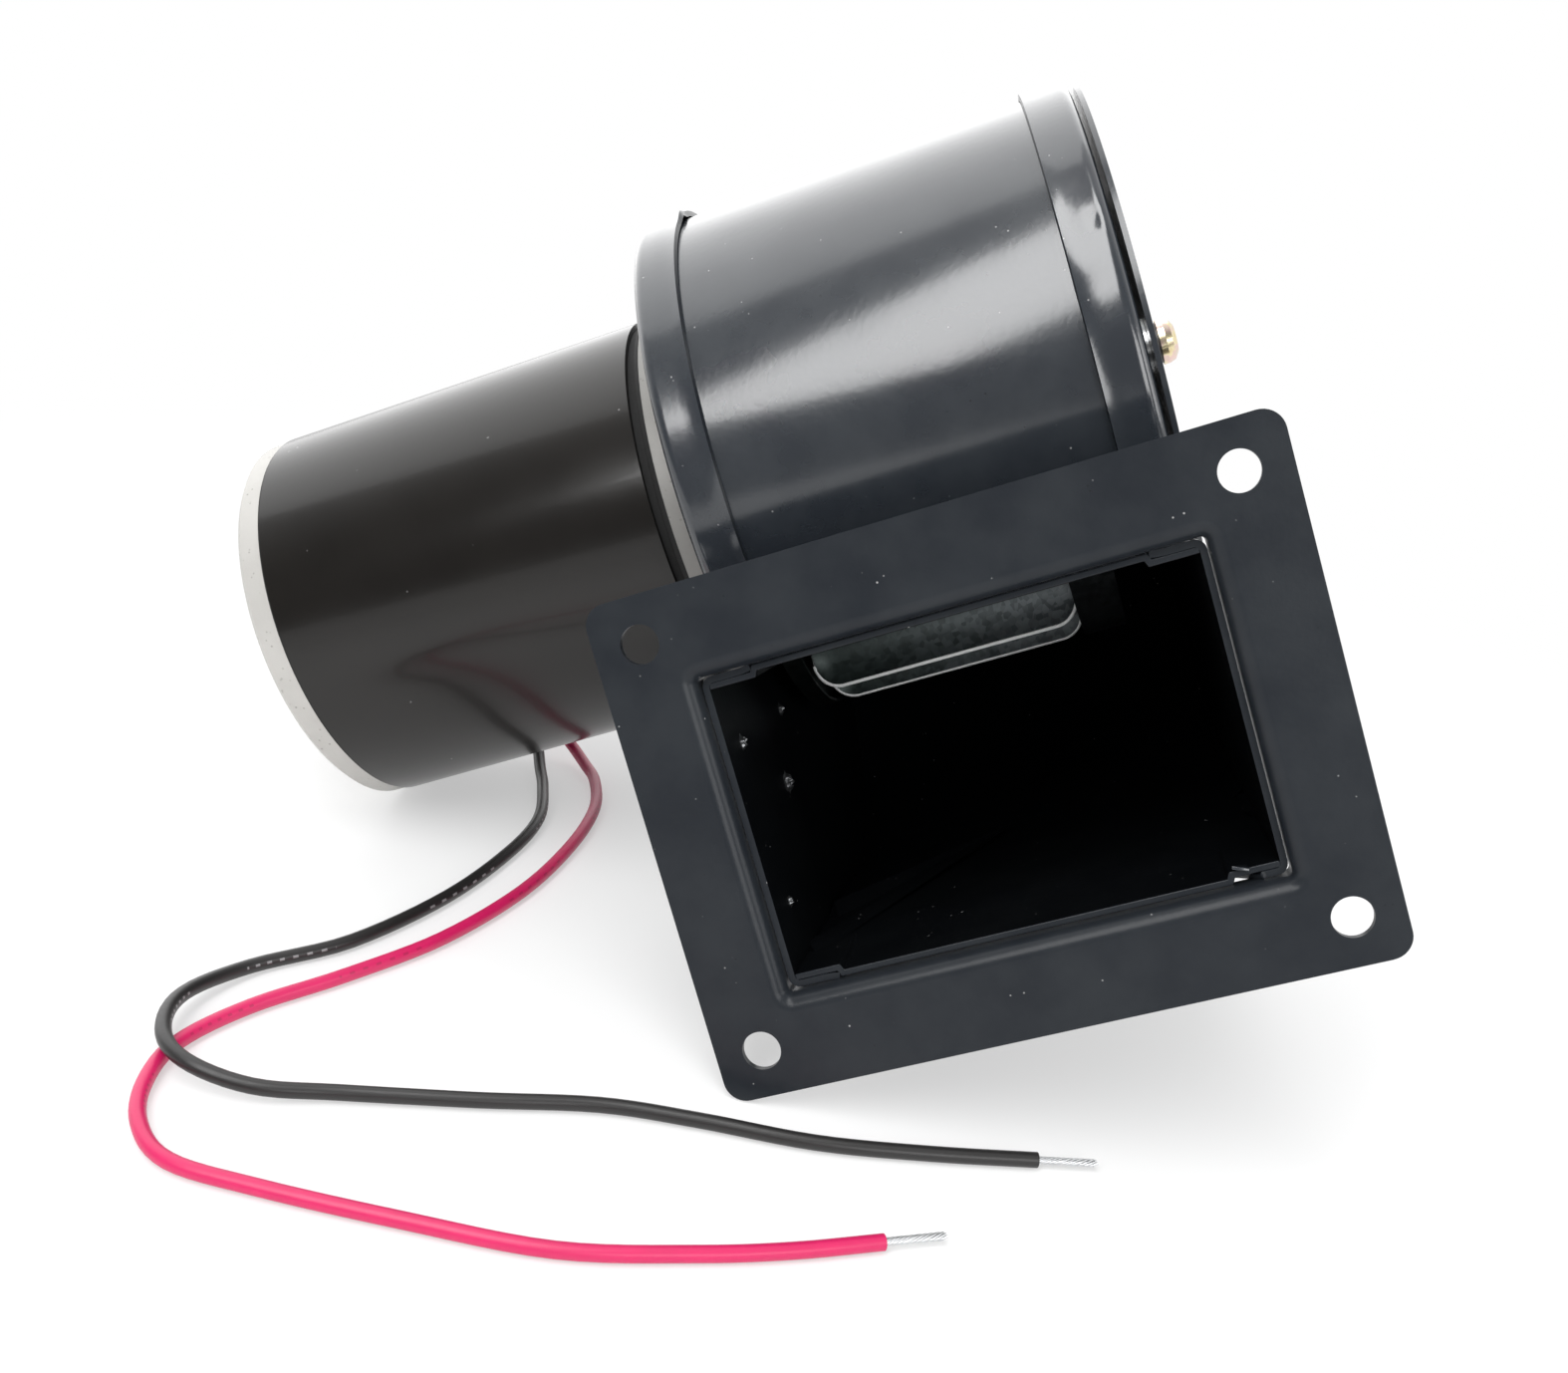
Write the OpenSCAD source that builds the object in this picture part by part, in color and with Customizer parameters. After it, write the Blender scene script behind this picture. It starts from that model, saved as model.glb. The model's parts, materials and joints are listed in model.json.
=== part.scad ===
// Direct-current centrifugal blower: a sheet-steel scroll with a drum impeller,
// driven by a brushed motor, with a rectangular outlet flange and a turning
// air damper on its inlet. It lies on a bench as such a blower does: on one
// corner of its flange, the edge of the scroll and the rim of the motor.
// Blower axes: X along the shaft, from the motor to the inlet; the outlet
// looks to -Y; Z up; the centre of the flange face is the zero point.

/* [Outlet flange] */
// Thickness of the flange plate
flange_t = 1.5; // [1:0.1:3]
// Radius of the flange corners
flange_corner_r = 5; // [2:0.5:8]
// Distance between the bolt holes along the width
bolt_spacing_w = 103; // [100:1:116]
// Distance between the bolt holes along the height
bolt_spacing_h = 75; // [72:1:86]
// Distance from the bolt holes to the edges of the flange plate
bolt_edge = 8.5; // [6:0.5:12]
// Diameter of the bolt holes
bolt_hole_d = 7; // [5:0.5:8]
// Depth of the drawn collar behind the flange plate
collar_depth = 7; // [4:0.5:12]
// Radius of the drawn edge between the flange plate and its collar
collar_edge_r = 3; // [1.5:0.5:3.5]

/* [Scroll housing] */
// Width of the housing over its two covers
housing_w = 88; // [80:1:90]
// Thickness of the sheet steel
sheet_t = 1.2; // [0.8:0.1:1.6]
// Height of the outlet duct over its covers
duct_h = 57.6; // [50:0.2:59]
// Distance of the shaft behind the flange face
shaft_back = 79; // [76:0.5:86]
// Height of the shaft above the centre of the flange
shaft_up = 61; // [58:0.5:66]
// Radius of the scroll's first arc, at the front and top
scroll_r = 55.4; // [55:0.2:60]
// Height of the first arc's centre above the shaft
scroll_rise = 3.8; // [2:0.2:5]
// Radius of the scroll's back, from its top round to the rear
scroll_back_r = 78; // [72:1:84]
// Width of the lips that fold over the scroll strip
lip_w = 9; // [6:0.5:12]
// Radius of the tongue between the duct and the scroll
tongue_r = 1.6; // [1.4:0.1:2.5]
// Diameter of the air inlet
inlet_d = 70; // [60:1:74]
// Depth of the inlet's drawn ring
inlet_ring_depth = 5; // [3:0.5:8]

/* [Damper] */
// Radius of the damper plate
damper_r = 54; // [48:0.5:55]
// Thickness of the damper plate
damper_t = 1; // [0.8:0.1:1.5]
// Gap between the inlet cover and the damper plate
damper_gap = 0.9; // [0.5:0.1:1.5]
// Distance of the damper screw in front of the shaft
damper_pivot = 43; // [42.5:0.5:46]
// Diameter of the damper screw's thread
damper_screw_d = 4; // [3:0.5:5]

/* [Impeller] */
// Outer diameter of the impeller
impeller_d = 97; // [90:1:98]
// Width of the impeller
impeller_w = 67; // [50:1:68]
// Number of blades
blade_count = 18; // [12:1:24]
// Length of each blade along the shaft
blade_len = 51; // [40:1:56]
// Radial depth of the blades
blade_depth = 9; // [6:0.5:11]
// Thickness of the impeller's sheet
impeller_t = 0.8; // [0.5:0.1:1.2]
// Gap between the motor-side cover and the impeller
impeller_gap = 5; // [4:0.5:8]
// Diameter of the hub
hub_d = 20; // [16:1:26]
// Length of the hub
hub_len = 18; // [14:1:24]

/* [Motor] */
// Outer diameter of the motor tube
motor_d = 83; // [76:1:88]
// Wall of the motor tube
tube_wall = 3.5; // [2.5:0.5:4]
// Length of the motor tube
tube_len = 83; // [80:1:100]
// Thickness of the rear end cap's flange
rear_cap_t = 6; // [4:0.5:9]
// Thickness of the front bell's flange
front_bell_t = 6.5; // [5:0.5:9]
// Width of the groove between the tube and the front bell's flange
bell_groove = 2; // [1:0.5:3]
// Depth of the end caps' spigots inside the tube
spigot_len = 6; // [4:0.5:8]
// Diameter of the shaft
shaft_d = 8; // [6:1:8]
// Outer diameter of the ball bearings
bearing_d = 22; // [19:1:24]
// Width of the ball bearings
bearing_w = 7; // [6:0.5:8]
// Outer diameter of the armature
armature_d = 61; // [50:1:61]
// Length of the armature's laminated core
core_len = 36; // [28:1:38]
// Number of armature slots
slot_count = 12; // [8:1:16]
// Thickness of the magnets
magnet_t = 7; // [5:0.5:8]
// Length of the magnets
magnet_len = 44; // [36:1:46]
// Diameter of the commutator
commutator_d = 24; // [20:1:28]
// Length of the commutator
commutator_len = 13; // [10:0.5:14]

/* [Leads] */
// Outer diameter of the two leads
lead_d = 2.8; // [2:0.1:3.2]
// Length of each stripped and tinned end
bare_len = 11; // [6:1:14]
// Diameter of the tinned strands
bare_d = 1.4; // [1:0.1:1.8]

/* [Hidden] */
$fn = 96;

// The flange plate reaches past its bolt holes
flange_w = bolt_spacing_w + 2 * bolt_edge;
flange_h = bolt_spacing_h + 2 * bolt_edge;

// Housing
half_w = housing_w / 2;
half_duct = duct_h / 2;
duct_start = flange_t + collar_edge_r - 0.5;
collar_clear = 0.2;
arc_y = shaft_back;
arc_z = shaft_up + scroll_rise;
// The back arc starts at the scroll's top, and the bottom arc ends on the duct's floor
back_arc_z = arc_z + scroll_r - scroll_back_r;
bottom_arc_r = back_arc_z + half_duct;
bottom_arc_y = arc_y + scroll_back_r - bottom_arc_r;
tongue_y = arc_y - sqrt(pow(scroll_r - sheet_t, 2) - pow(arc_z - half_duct + sheet_t, 2));
edge_step = sheet_t / 2;
inlet_r = inlet_d / 2;
inlet_roll = 3;
pilot_r = 16;
pilot_clear = 0.1;

// Damper
pivot_y = shaft_back - damper_pivot;
pivot_z = shaft_up + 2;
screw_clear = 0.05;
face_clear = 0.05;
damper_x = half_w + damper_gap + face_clear;
spacer_r = damper_screw_d + 1;
lock_washer_t = 0.9;
pan_head_r = damper_screw_d;
pan_head_h = damper_screw_d * 0.78;
nut_across = 7;
nut_h = 3.2;

// Impeller
impeller_r = impeller_d / 2;
impeller_x = -half_w + sheet_t + impeller_gap;
band_w = (impeller_w - blade_len) / 2;
blade_overlap = 0.5;
blade_seat = 0.1;
hub_flange_w = 6;
hub_flange_r = hub_d / 2 + hub_flange_w;
hub_flange_t = 2;
hub_x = impeller_x + impeller_t;
hub_spigot_r = shaft_d / 2 + 2.5;
rivet_r = 1.6;
rivet_circle = (hub_d / 2 + hub_flange_r) / 2;
shaft_fit = 0.01;
bearing_fit = 0.02;
grub_r = 2.5;
grub_len = 5;
grub_socket_d = 2.9;
grub_socket_depth = 2;

// Motor
motor_r = motor_d / 2;
tube_r = motor_r - tube_wall;
bell_x = -half_w - front_bell_t;
tube_x1 = bell_x - bell_groove;
tube_x0 = tube_x1 - tube_len;
cap_x = tube_x0 - rear_cap_t;
cap_edge = 1.2;
cap_inset = 0.4;
fit_clear = 0.05;
spigot_wall = 3;
bearing_r = bearing_d / 2;
bearing_boss_r = bearing_r + 4;
front_bearing_x = -half_w - bearing_w;
rear_bearing_x = cap_x + 3;
shaft_x0 = rear_bearing_x + 0.5;
shaft_x1 = hub_x + hub_len + 3;
brush_plate_t = 2;
brush_plate_x = tube_x0 + spigot_len;
commutator_x = brush_plate_x + 0.5;
brush_w = 6;
brush_h = 7;
brush_wall = 1;
brush_len = 11;
brush_clear = 0.1;
holder_gap = 2;
holder_len = 15;
holder_r0 = commutator_d / 2 + holder_gap;
holder_r1 = holder_r0 + holder_len;
end_turn_len = 8;
end_turn_inset = 5;
end_turn_bevel = 2;
core_x0 = commutator_x + commutator_len + end_turn_len + 3;
core_x1 = core_x0 + core_len;
core_r = armature_d / 2;
core_hub_r = 12;
tooth_gap = 2.6;
slot_depth = 9;
magnet_x = (core_x0 + core_x1 - magnet_len) / 2;
magnet_angle = 136;
tie_r = 2.5;
tie_circle = tube_r - 3.5;
tie_head_r = 4.2;
tie_head_h = 3.2;
motor_screw_r = 2;
motor_screw_circle = 24;
motor_screw_head_r = 3.8;
motor_screw_head_h = 2.4;
motor_screw_depth = 5;

// Leads: they leave the motor round to the back from its lowest line
grommet_r = 5.2;
grommet_rim_r = 6.4;
grommet_rim_t = 1.6;
lead_pitch = 4.2;
lead_x = magnet_x - grommet_rim_r - 1;
lead_angle = 45;
lead_start_r = motor_r + fit_clear + grommet_rim_t;
lead_sides = 8;
rings_per_point = 2;

// The leads' routes over the bench after their start, in the row's own axes
black_route = [[-58, 38, 8.1], [-55, 35, 5], [-52, 27, 2.4], [-49, 18, 1.4], [-46, 2, 1.4],
    [-48, -16, 1.4], [-55, -40, 1.4], [-67, -63, 1.4], [-81, -78, 1.6], [-87, -93, 3.6],
    [-85, -105, 4.5], [-78, -112, 4.3], [-66, -113, 2.5], [-52, -109, 1.5], [-30, -104, 1.4],
    [-10, -99, 1.4], [7, -98, 1.4], [28, -98, 1.4], [48, -95, 1.4], [67, -91, 1.4]];
red_route = [[-52, 41, 8], [-47, 39, 4.2], [-42, 33, 2.4], [-38, 26, 1.8], [-35, 12, 1.4],
    [-36, -8, 1.4], [-41, -32, 1.4], [-51, -56, 1.4], [-64, -75, 1.4], [-76, -90, 1.4],
    [-83, -104, 1.4], [-83, -116, 1.4], [-79, -126, 1.4], [-71, -133, 1.4], [-56, -135, 1.4],
    [-33, -136, 1.4], [-9, -136, 1.4], [12, -131, 1.4], [27, -126, 1.4], [41, -120, 1.4]];

// How the blower lies on a bench: turned about X, then about Y, and lifted
lie_back = -14.4;
lie_over = -27.2;
lie_x = 45;
lie_y = -76.8;

// The bench's normal in the blower's axes
bench_up = [-sin(lie_over), cos(lie_over) * sin(lie_back), cos(lie_over) * cos(lie_back)];

// How high the lowest point of a circle lies; its axis is the blower's X (0) or Y (1)
function lowest(centre, r, axis) = centre * bench_up - r * sqrt(1 - pow(bench_up[axis], 2));

// The blower rests on the flange's corner, the rim of the rear cap and the scroll's edge
lie_up = -min(
    lowest([flange_corner_r - flange_w / 2, flange_t, flange_corner_r - flange_h / 2],
        flange_corner_r, 1),
    lowest([cap_x + cap_edge, shaft_back, shaft_up], motor_r - cap_inset, 0),
    lowest([edge_step - half_w, bottom_arc_y, back_arc_z], bottom_arc_r, 0));

module lying() {
    translate([lie_x, lie_y, lie_up]) rotate([0, lie_over, 0]) rotate([lie_back, 0, 0])
        children();
}

// A flat outline given as [back, up], drawn out along the shaft from x0 to x1
module along_shaft(x0, x1) {
    translate([x0, 0, 0]) rotate([90, 0, 90]) linear_extrude(x1 - x0) children();
}

// A half profile given as [radius, along the shaft], turned about the shaft
module about_shaft() {
    translate([0, shaft_back, shaft_up]) rotate([0, 90, 0]) rotate_extrude() children();
}

// A round bar or hole on a line parallel to the shaft
module bar(x0, x1, r, y = shaft_back, z = shaft_up) {
    translate([x0, y, z]) rotate([0, 90, 0]) cylinder(r = r, h = x1 - x0);
}

// Copies set evenly on a circle about the shaft
module around_shaft(count, radius, start = 0) {
    for (i = [0 : count - 1]) {
        a = start + i * 360 / count;
        translate([0, radius * cos(a), radius * sin(a)]) children();
    }
}

// The scroll's outline, all its edges moved inwards by inset, open from y = start
module scroll_outline(inset, start) {
    big = 4 * scroll_r;
    intersection() {
        translate([arc_y, arc_z]) circle(scroll_r - inset);
        translate([arc_y - big, half_duct - inset]) square(big);
    }
    intersection() {
        translate([arc_y, back_arc_z]) circle(scroll_back_r - inset);
        translate([arc_y, back_arc_z]) square(big);
    }
    intersection() {
        translate([bottom_arc_y, back_arc_z]) circle(bottom_arc_r - inset);
        translate([bottom_arc_y, back_arc_z - big]) square(big);
    }
    translate([arc_y, -half_duct + inset])
        square([bottom_arc_y - arc_y, back_arc_z + half_duct - inset]);
    translate([start, -half_duct + inset]) square([arc_y - start, duct_h - 2 * inset]);
}

// A rectangle about the centre with round corners
module rounded_rect(w, h, r) {
    square([w, h - 2 * r], center = true);
    square([w - 2 * r, h], center = true);
    for (sx = [-1, 1], sy = [-1, 1])
        translate([sx * (w / 2 - r), sy * (h / 2 - r)]) circle(r);
}

// A plate in the flange's plane from y0 to y1
module flange_slab(y0, y1) {
    translate([0, y1, 0]) rotate([90, 0, 0]) linear_extrude(y1 - y0) children();
}

// One side of the drawn edge round the outlet: a quarter round that runs on
// into the collar, mitred at both ends
module drawn_side(half_long, half_reach) {
    long = half_long + collar_edge_r;
    reach = half_reach + collar_edge_r;
    tip_x = max(long - reach, 0);
    tip_z = max(reach - long, 0);
    intersection() {
        along_shaft(-long, long) {
            translate([collar_edge_r, reach]) intersection() {
                difference() {
                    circle(collar_edge_r);
                    circle(collar_edge_r - flange_t);
                }
                translate([-collar_edge_r, -collar_edge_r]) square(collar_edge_r);
            }
            translate([collar_edge_r, half_reach])
                square([collar_depth - collar_edge_r, flange_t]);
        }
        rotate([-90, 0, 0]) linear_extrude(collar_depth)
            polygon([[-long, -reach], [long, -reach], [tip_x, -tip_z], [-tip_x, -tip_z]]);
    }
}

module outlet_flange() {
    half_mouth_w = half_w + collar_clear;
    half_mouth_h = half_duct + collar_clear;
    color("#2c2f33") lying() {
        difference() {
            flange_slab(0, flange_t) rounded_rect(flange_w, flange_h, flange_corner_r);
            flange_slab(-1, flange_t + 1)
                square([2 * (half_mouth_w + collar_edge_r), 2 * (half_mouth_h + collar_edge_r)],
                    center = true);
            for (sx = [-1, 1], sz = [-1, 1])
                translate([sx * bolt_spacing_w / 2, -1, sz * bolt_spacing_h / 2])
                    rotate([-90, 0, 0]) cylinder(d = bolt_hole_d, h = flange_t + 2);
        }
        for (side = [0, 1]) {
            mirror([0, 0, side]) drawn_side(half_mouth_w, half_mouth_h);
            rotate([0, 90 + 180 * side, 0]) drawn_side(half_mouth_h, half_mouth_w);
        }
    }
}

module scroll_wrap() {
    x = half_w - sheet_t;
    color("#33373c") lying() along_shaft(-x, x) {
        difference() {
            scroll_outline(sheet_t, duct_start);
            scroll_outline(2 * sheet_t, duct_start - 1);
        }
        intersection() {
            translate([tongue_y, half_duct - sheet_t]) circle(tongue_r);
            scroll_outline(sheet_t, duct_start);
        }
    }
}

// A dished side cover, drawn for the +X side: its face and the lip round it
module side_cover_shell() {
    along_shaft(half_w - edge_step, half_w) scroll_outline(edge_step / 2, duct_start);
    along_shaft(half_w - sheet_t, half_w - edge_step) scroll_outline(0, duct_start);
    along_shaft(half_w - lip_w, half_w - sheet_t) difference() {
        scroll_outline(0, duct_start);
        scroll_outline(sheet_t, duct_start - 1);
    }
}

module motor_side_cover() {
    color("#33373c") lying() difference() {
        mirror([1, 0, 0]) side_cover_shell();
        bar(-half_w - 1, 0, pilot_r + pilot_clear);
        around_shaft(4, motor_screw_circle, 45)
            bar(-half_w - 1, 0, motor_screw_r + fit_clear);
    }
}

module inlet_cover() {
    color("#33373c") lying() {
        difference() {
            side_cover_shell();
            bar(0, half_w + 1, inlet_r + inlet_roll);
            bar(0, half_w + 1, damper_screw_d / 2 + screw_clear, pivot_y, pivot_z);
        }
        // The inlet's drawn ring, rolled inwards
        about_shaft() {
            translate([inlet_r + inlet_roll, half_w - inlet_roll]) intersection() {
                difference() {
                    circle(inlet_roll);
                    circle(inlet_roll - sheet_t);
                }
                translate([-inlet_roll, 0]) square(inlet_roll);
            }
            translate([inlet_r, half_w - inlet_roll - inlet_ring_depth])
                square([sheet_t, inlet_ring_depth]);
        }
    }
}

module damper_plate() {
    color("#33373c") lying() difference() {
        bar(damper_x, damper_x + damper_t, damper_r, arc_y, arc_z);
        bar(damper_x - 1, damper_x + damper_t + 1, damper_screw_d / 2 + screw_clear,
            pivot_y, pivot_z);
    }
}

module damper_spacer() {
    color("#8f8f8c") lying() difference() {
        bar(half_w, half_w + damper_gap, spacer_r, pivot_y, pivot_z);
        bar(half_w - 1, half_w + damper_gap + 1, damper_screw_d / 2 + screw_clear,
            pivot_y, pivot_z);
    }
}

module damper_lock_washer() {
    x = damper_x + damper_t + face_clear;
    color("#55534e") lying() difference() {
        bar(x, x + lock_washer_t, pan_head_r - 0.4, pivot_y, pivot_z);
        bar(x - 1, x + lock_washer_t + 1, damper_screw_d / 2 + screw_clear, pivot_y, pivot_z);
    }
}

// A pan head with a cross recess, from x along the shaft's direction
module pan_head(x, r, h, y, z) {
    slot_w = r * 0.3;
    difference() {
        translate([x, y, z]) rotate([0, 90, 0]) rotate_extrude($fn = 48)
            polygon([[0, 0], [r, 0], [r, h * 0.35], [r * 0.9, h * 0.7], [r * 0.6, h * 0.94], [0, h]]);
        translate([x + h * 0.55, y, z]) rotate([45, 0, 0]) {
            translate([0, -slot_w / 2, -r * 0.55]) cube([h, slot_w, r * 1.1]);
            translate([0, -r * 0.55, -slot_w / 2]) cube([h, r * 1.1, slot_w]);
        }
    }
}

module damper_screw() {
    head_x = damper_x + damper_t + face_clear + lock_washer_t;
    color("#c9b26a") lying() {
        pan_head(head_x, pan_head_r, pan_head_h, pivot_y, pivot_z);
        bar(half_w - sheet_t - nut_h - 1, head_x + 0.01, damper_screw_d / 2, pivot_y, pivot_z);
    }
}

module damper_nut() {
    x1 = half_w - sheet_t;
    color("#b9b9b5") lying() difference() {
        translate([x1 - nut_h, pivot_y, pivot_z]) rotate([0, 90, 0])
            cylinder(d = nut_across / cos(30), h = nut_h, $fn = 6);
        bar(x1 - nut_h - 1, x1 + 1, damper_screw_d / 2 + screw_clear, pivot_y, pivot_z);
    }
}

// One forward-curved blade in section: an arc of sheet from the drum's rim inwards
module blade_section() {
    r_out = impeller_r - blade_seat;
    bend = blade_depth * 0.95;
    steps = 8;
    sweep = 78;
    mid = [for (i = [0 : steps]) let (a = i * sweep / steps)
        [bend * sin(a), r_out - impeller_t / 2 - bend * 1.02 * (1 - cos(a))]];
    side = [for (i = [0 : steps]) let (a = i * sweep / steps)
        impeller_t / 2 * [sin(a), cos(a)]];
    polygon(concat([for (i = [0 : steps]) mid[i] + side[i]],
        [for (i = [steps : -1 : 0]) mid[i] - side[i]]));
}

module impeller_drum() {
    x0 = impeller_x;
    x1 = impeller_x + band_w;
    x2 = x1 + blade_len;
    x3 = x2 + band_w;
    color("#8b9389") lying() {
        about_shaft()
            for (x = [x0, x2])
                translate([impeller_r - impeller_t, x]) square([impeller_t, band_w]);
        translate([0, shaft_back, shaft_up])
            along_shaft(x1 - blade_overlap, x2 + blade_overlap)
                for (i = [0 : blade_count - 1])
                    rotate(i * 360 / blade_count) blade_section();
    }
}

module impeller_back_plate() {
    color("#9aa196") lying() difference() {
        bar(impeller_x, impeller_x + impeller_t, impeller_r - impeller_t);
        bar(impeller_x - 1, impeller_x + impeller_t + 1, hub_spigot_r);
        around_shaft(3, rivet_circle)
            bar(impeller_x - 1, impeller_x + impeller_t + 1, rivet_r);
    }
}

module impeller_front_ring() {
    x1 = impeller_x + impeller_w;
    color("#9aa196") lying() difference() {
        bar(x1 - impeller_t, x1, impeller_r - impeller_t);
        bar(x1 - impeller_t - 1, x1 + 1, impeller_r - blade_depth - 1);
    }
}

module impeller_hub() {
    color("#b08d4a") lying() difference() {
        union() {
            bar(hub_x - impeller_t, hub_x + 0.1, hub_spigot_r);
            bar(hub_x, hub_x + hub_flange_t, hub_flange_r);
            bar(hub_x, hub_x + hub_len, hub_d / 2);
        }
        bar(hub_x - impeller_t - 1, hub_x + hub_len + 1, shaft_d / 2 + shaft_fit);
        around_shaft(3, rivet_circle)
            bar(hub_x - 1, hub_x + hub_flange_t + 1, rivet_r);
        translate([hub_x + hub_len * 0.6, shaft_back, shaft_up])
            cylinder(r = grub_r, h = hub_d);
    }
}

module impeller_rivets() {
    color("#c4c4bf") lying() around_shaft(3, rivet_circle) {
        bar(impeller_x, hub_x + hub_flange_t, rivet_r);
        bar(hub_x + hub_flange_t, hub_x + hub_flange_t + 1, rivet_r * 1.6);
        bar(impeller_x - 0.8, impeller_x, rivet_r * 1.6);
    }
}

module grub_screw() {
    color("#3a3a3c") lying() translate([hub_x + hub_len * 0.6, shaft_back, shaft_up])
        difference() {
            translate([0, 0, shaft_d / 2]) cylinder(r = grub_r, h = grub_len);
            translate([0, 0, shaft_d / 2 + grub_len - grub_socket_depth])
                cylinder(d = grub_socket_d, h = grub_len, $fn = 6);
        }
}

module motor_shaft() {
    chamfer = 0.5;
    color("#cfd2d4") lying() about_shaft() polygon([[0, shaft_x0],
        [shaft_d / 2 - chamfer, shaft_x0], [shaft_d / 2, shaft_x0 + chamfer],
        [shaft_d / 2, shaft_x1 - chamfer], [shaft_d / 2 - chamfer, shaft_x1], [0, shaft_x1]]);
}

module armature_core() {
    color("#7b7d80") lying() difference() {
        bar(core_x0, core_x1, core_r);
        bar(core_x0 - 1, core_x1 + 1, shaft_d / 2);
        translate([0, shaft_back, shaft_up]) along_shaft(core_x0 - 1, core_x1 + 1)
            for (i = [0 : slot_count - 1]) rotate(i * 360 / slot_count) {
                translate([core_r - 1.5 - slot_depth / 2, 0]) circle(d = slot_depth, $fn = 24);
                translate([core_r - 3, -tooth_gap / 2]) square([4, tooth_gap]);
            }
    }
}

module armature_windings() {
    fill_d = slot_depth - 0.6;
    end_turn_w = core_r - core_hub_r - end_turn_inset;
    color("#b5622d") lying() {
        translate([0, shaft_back, shaft_up])
            along_shaft(core_x0 - end_turn_len / 2, core_x1 + end_turn_len / 2)
                for (i = [0 : slot_count - 1]) rotate(i * 360 / slot_count)
                    translate([core_r - 1.5 - slot_depth / 2, 0]) circle(d = fill_d, $fn = 24);
        about_shaft()
            for (x = [core_x0 - end_turn_len, core_x1])
                translate([core_hub_r, x]) hull() {
                    translate([0, fit_clear])
                        square([end_turn_w, end_turn_len - 2 * fit_clear]);
                    translate([2 * end_turn_bevel, end_turn_bevel]) square(
                        [end_turn_w - end_turn_bevel, end_turn_len - 2 * end_turn_bevel]);
                }
    }
}

module commutator() {
    cuts = 12;
    x1 = commutator_x + commutator_len;
    color("#c77f45") lying() difference() {
        bar(commutator_x, x1, commutator_d / 2);
        bar(commutator_x - 1, x1 + 1, shaft_d / 2);
        translate([0, shaft_back, shaft_up]) along_shaft(commutator_x - 1, x1 + 1)
            for (i = [0 : cuts - 1]) rotate((i + 0.5) * 360 / cuts)
                translate([commutator_d / 2 - 1, -0.3]) square([2, 0.6]);
    }
}

// A sealed ball bearing from x to x + bearing_w
module ball_bearing(x) {
    about_shaft() difference() {
        translate([shaft_d / 2 + bearing_fit, x])
            square([bearing_r - shaft_d / 2 - bearing_fit, bearing_w]);
        for (end = [x, x + bearing_w])
            translate([shaft_d / 2 + 1.8, end - 0.3])
                square([bearing_r - shaft_d / 2 - 3.6, 0.6]);
    }
}

module front_bearing() {
    color("#d2d4d6") lying() ball_bearing(front_bearing_x);
}

module rear_bearing() {
    color("#d2d4d6") lying() ball_bearing(rear_bearing_x);
}

// A line out of the motor, square to its wall, where the leads leave it
module at_lead_exit() {
    translate([lead_x, shaft_back, shaft_up]) rotate([lead_angle, 0, 0])
        mirror([0, 0, 1]) children();
}

module motor_tube() {
    color("#1b1b1d") lying() difference() {
        bar(tube_x0, tube_x1, motor_r);
        bar(tube_x0 - 1, tube_x1 + 1, tube_r);
        at_lead_exit() cylinder(r = grommet_r, h = motor_r + tube_wall);
    }
}

module tie_holes(x0, x1) {
    around_shaft(2, tie_circle) bar(x0, x1, tie_r + fit_clear);
}

module front_bell() {
    spigot_x = tube_x1 - spigot_len;
    color("#c9c5bd") lying() difference() {
        union() {
            about_shaft() polygon([[bearing_boss_r - 4, -half_w - 1], [motor_r + 0.6, -half_w - 1],
                [motor_r + 0.6, bell_x + 0.8], [motor_r - 0.2, bell_x], [bearing_boss_r - 4, bell_x]]);
            bar(-half_w - 1.01, -half_w, motor_r - 1);
            bar(tube_x1, bell_x + 0.01, motor_r - 1.5);
            bar(-half_w - 0.01, -half_w + sheet_t, pilot_r);
            difference() {
                bar(spigot_x, tube_x1 + 0.01, tube_r - fit_clear);
                bar(spigot_x - 1, tube_x1, tube_r - spigot_wall);
            }
        }
        bar(front_bearing_x, 0, bearing_r);
        bar(spigot_x - 1, 0, bearing_r - 3);
        around_shaft(4, motor_screw_circle, 45)
            bar(-half_w - motor_screw_depth, 0, motor_screw_r + fit_clear);
        tie_holes(spigot_x - 1, -half_w - 2);
    }
}

module rear_end_cap() {
    rim_r = motor_r - cap_inset;
    color("#d9d7d2") lying() difference() {
        union() {
            about_shaft() polygon([[0, cap_x], [rim_r - cap_edge, cap_x],
                [rim_r, cap_x + cap_edge], [rim_r, tube_x0], [0, tube_x0]]);
            bar(tube_x0 - 1, rear_bearing_x + bearing_w, bearing_boss_r);
            difference() {
                bar(tube_x0 - 0.01, tube_x0 + spigot_len, tube_r - fit_clear);
                bar(tube_x0, tube_x0 + spigot_len + 1, tube_r - spigot_wall);
            }
        }
        bar(rear_bearing_x, 0, bearing_r);
        tie_holes(cap_x - 1, 0);
        around_shaft(2, tie_circle) bar(cap_x - 1, cap_x + tie_head_h + 0.2, tie_head_r + 0.2);
    }
}

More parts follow.
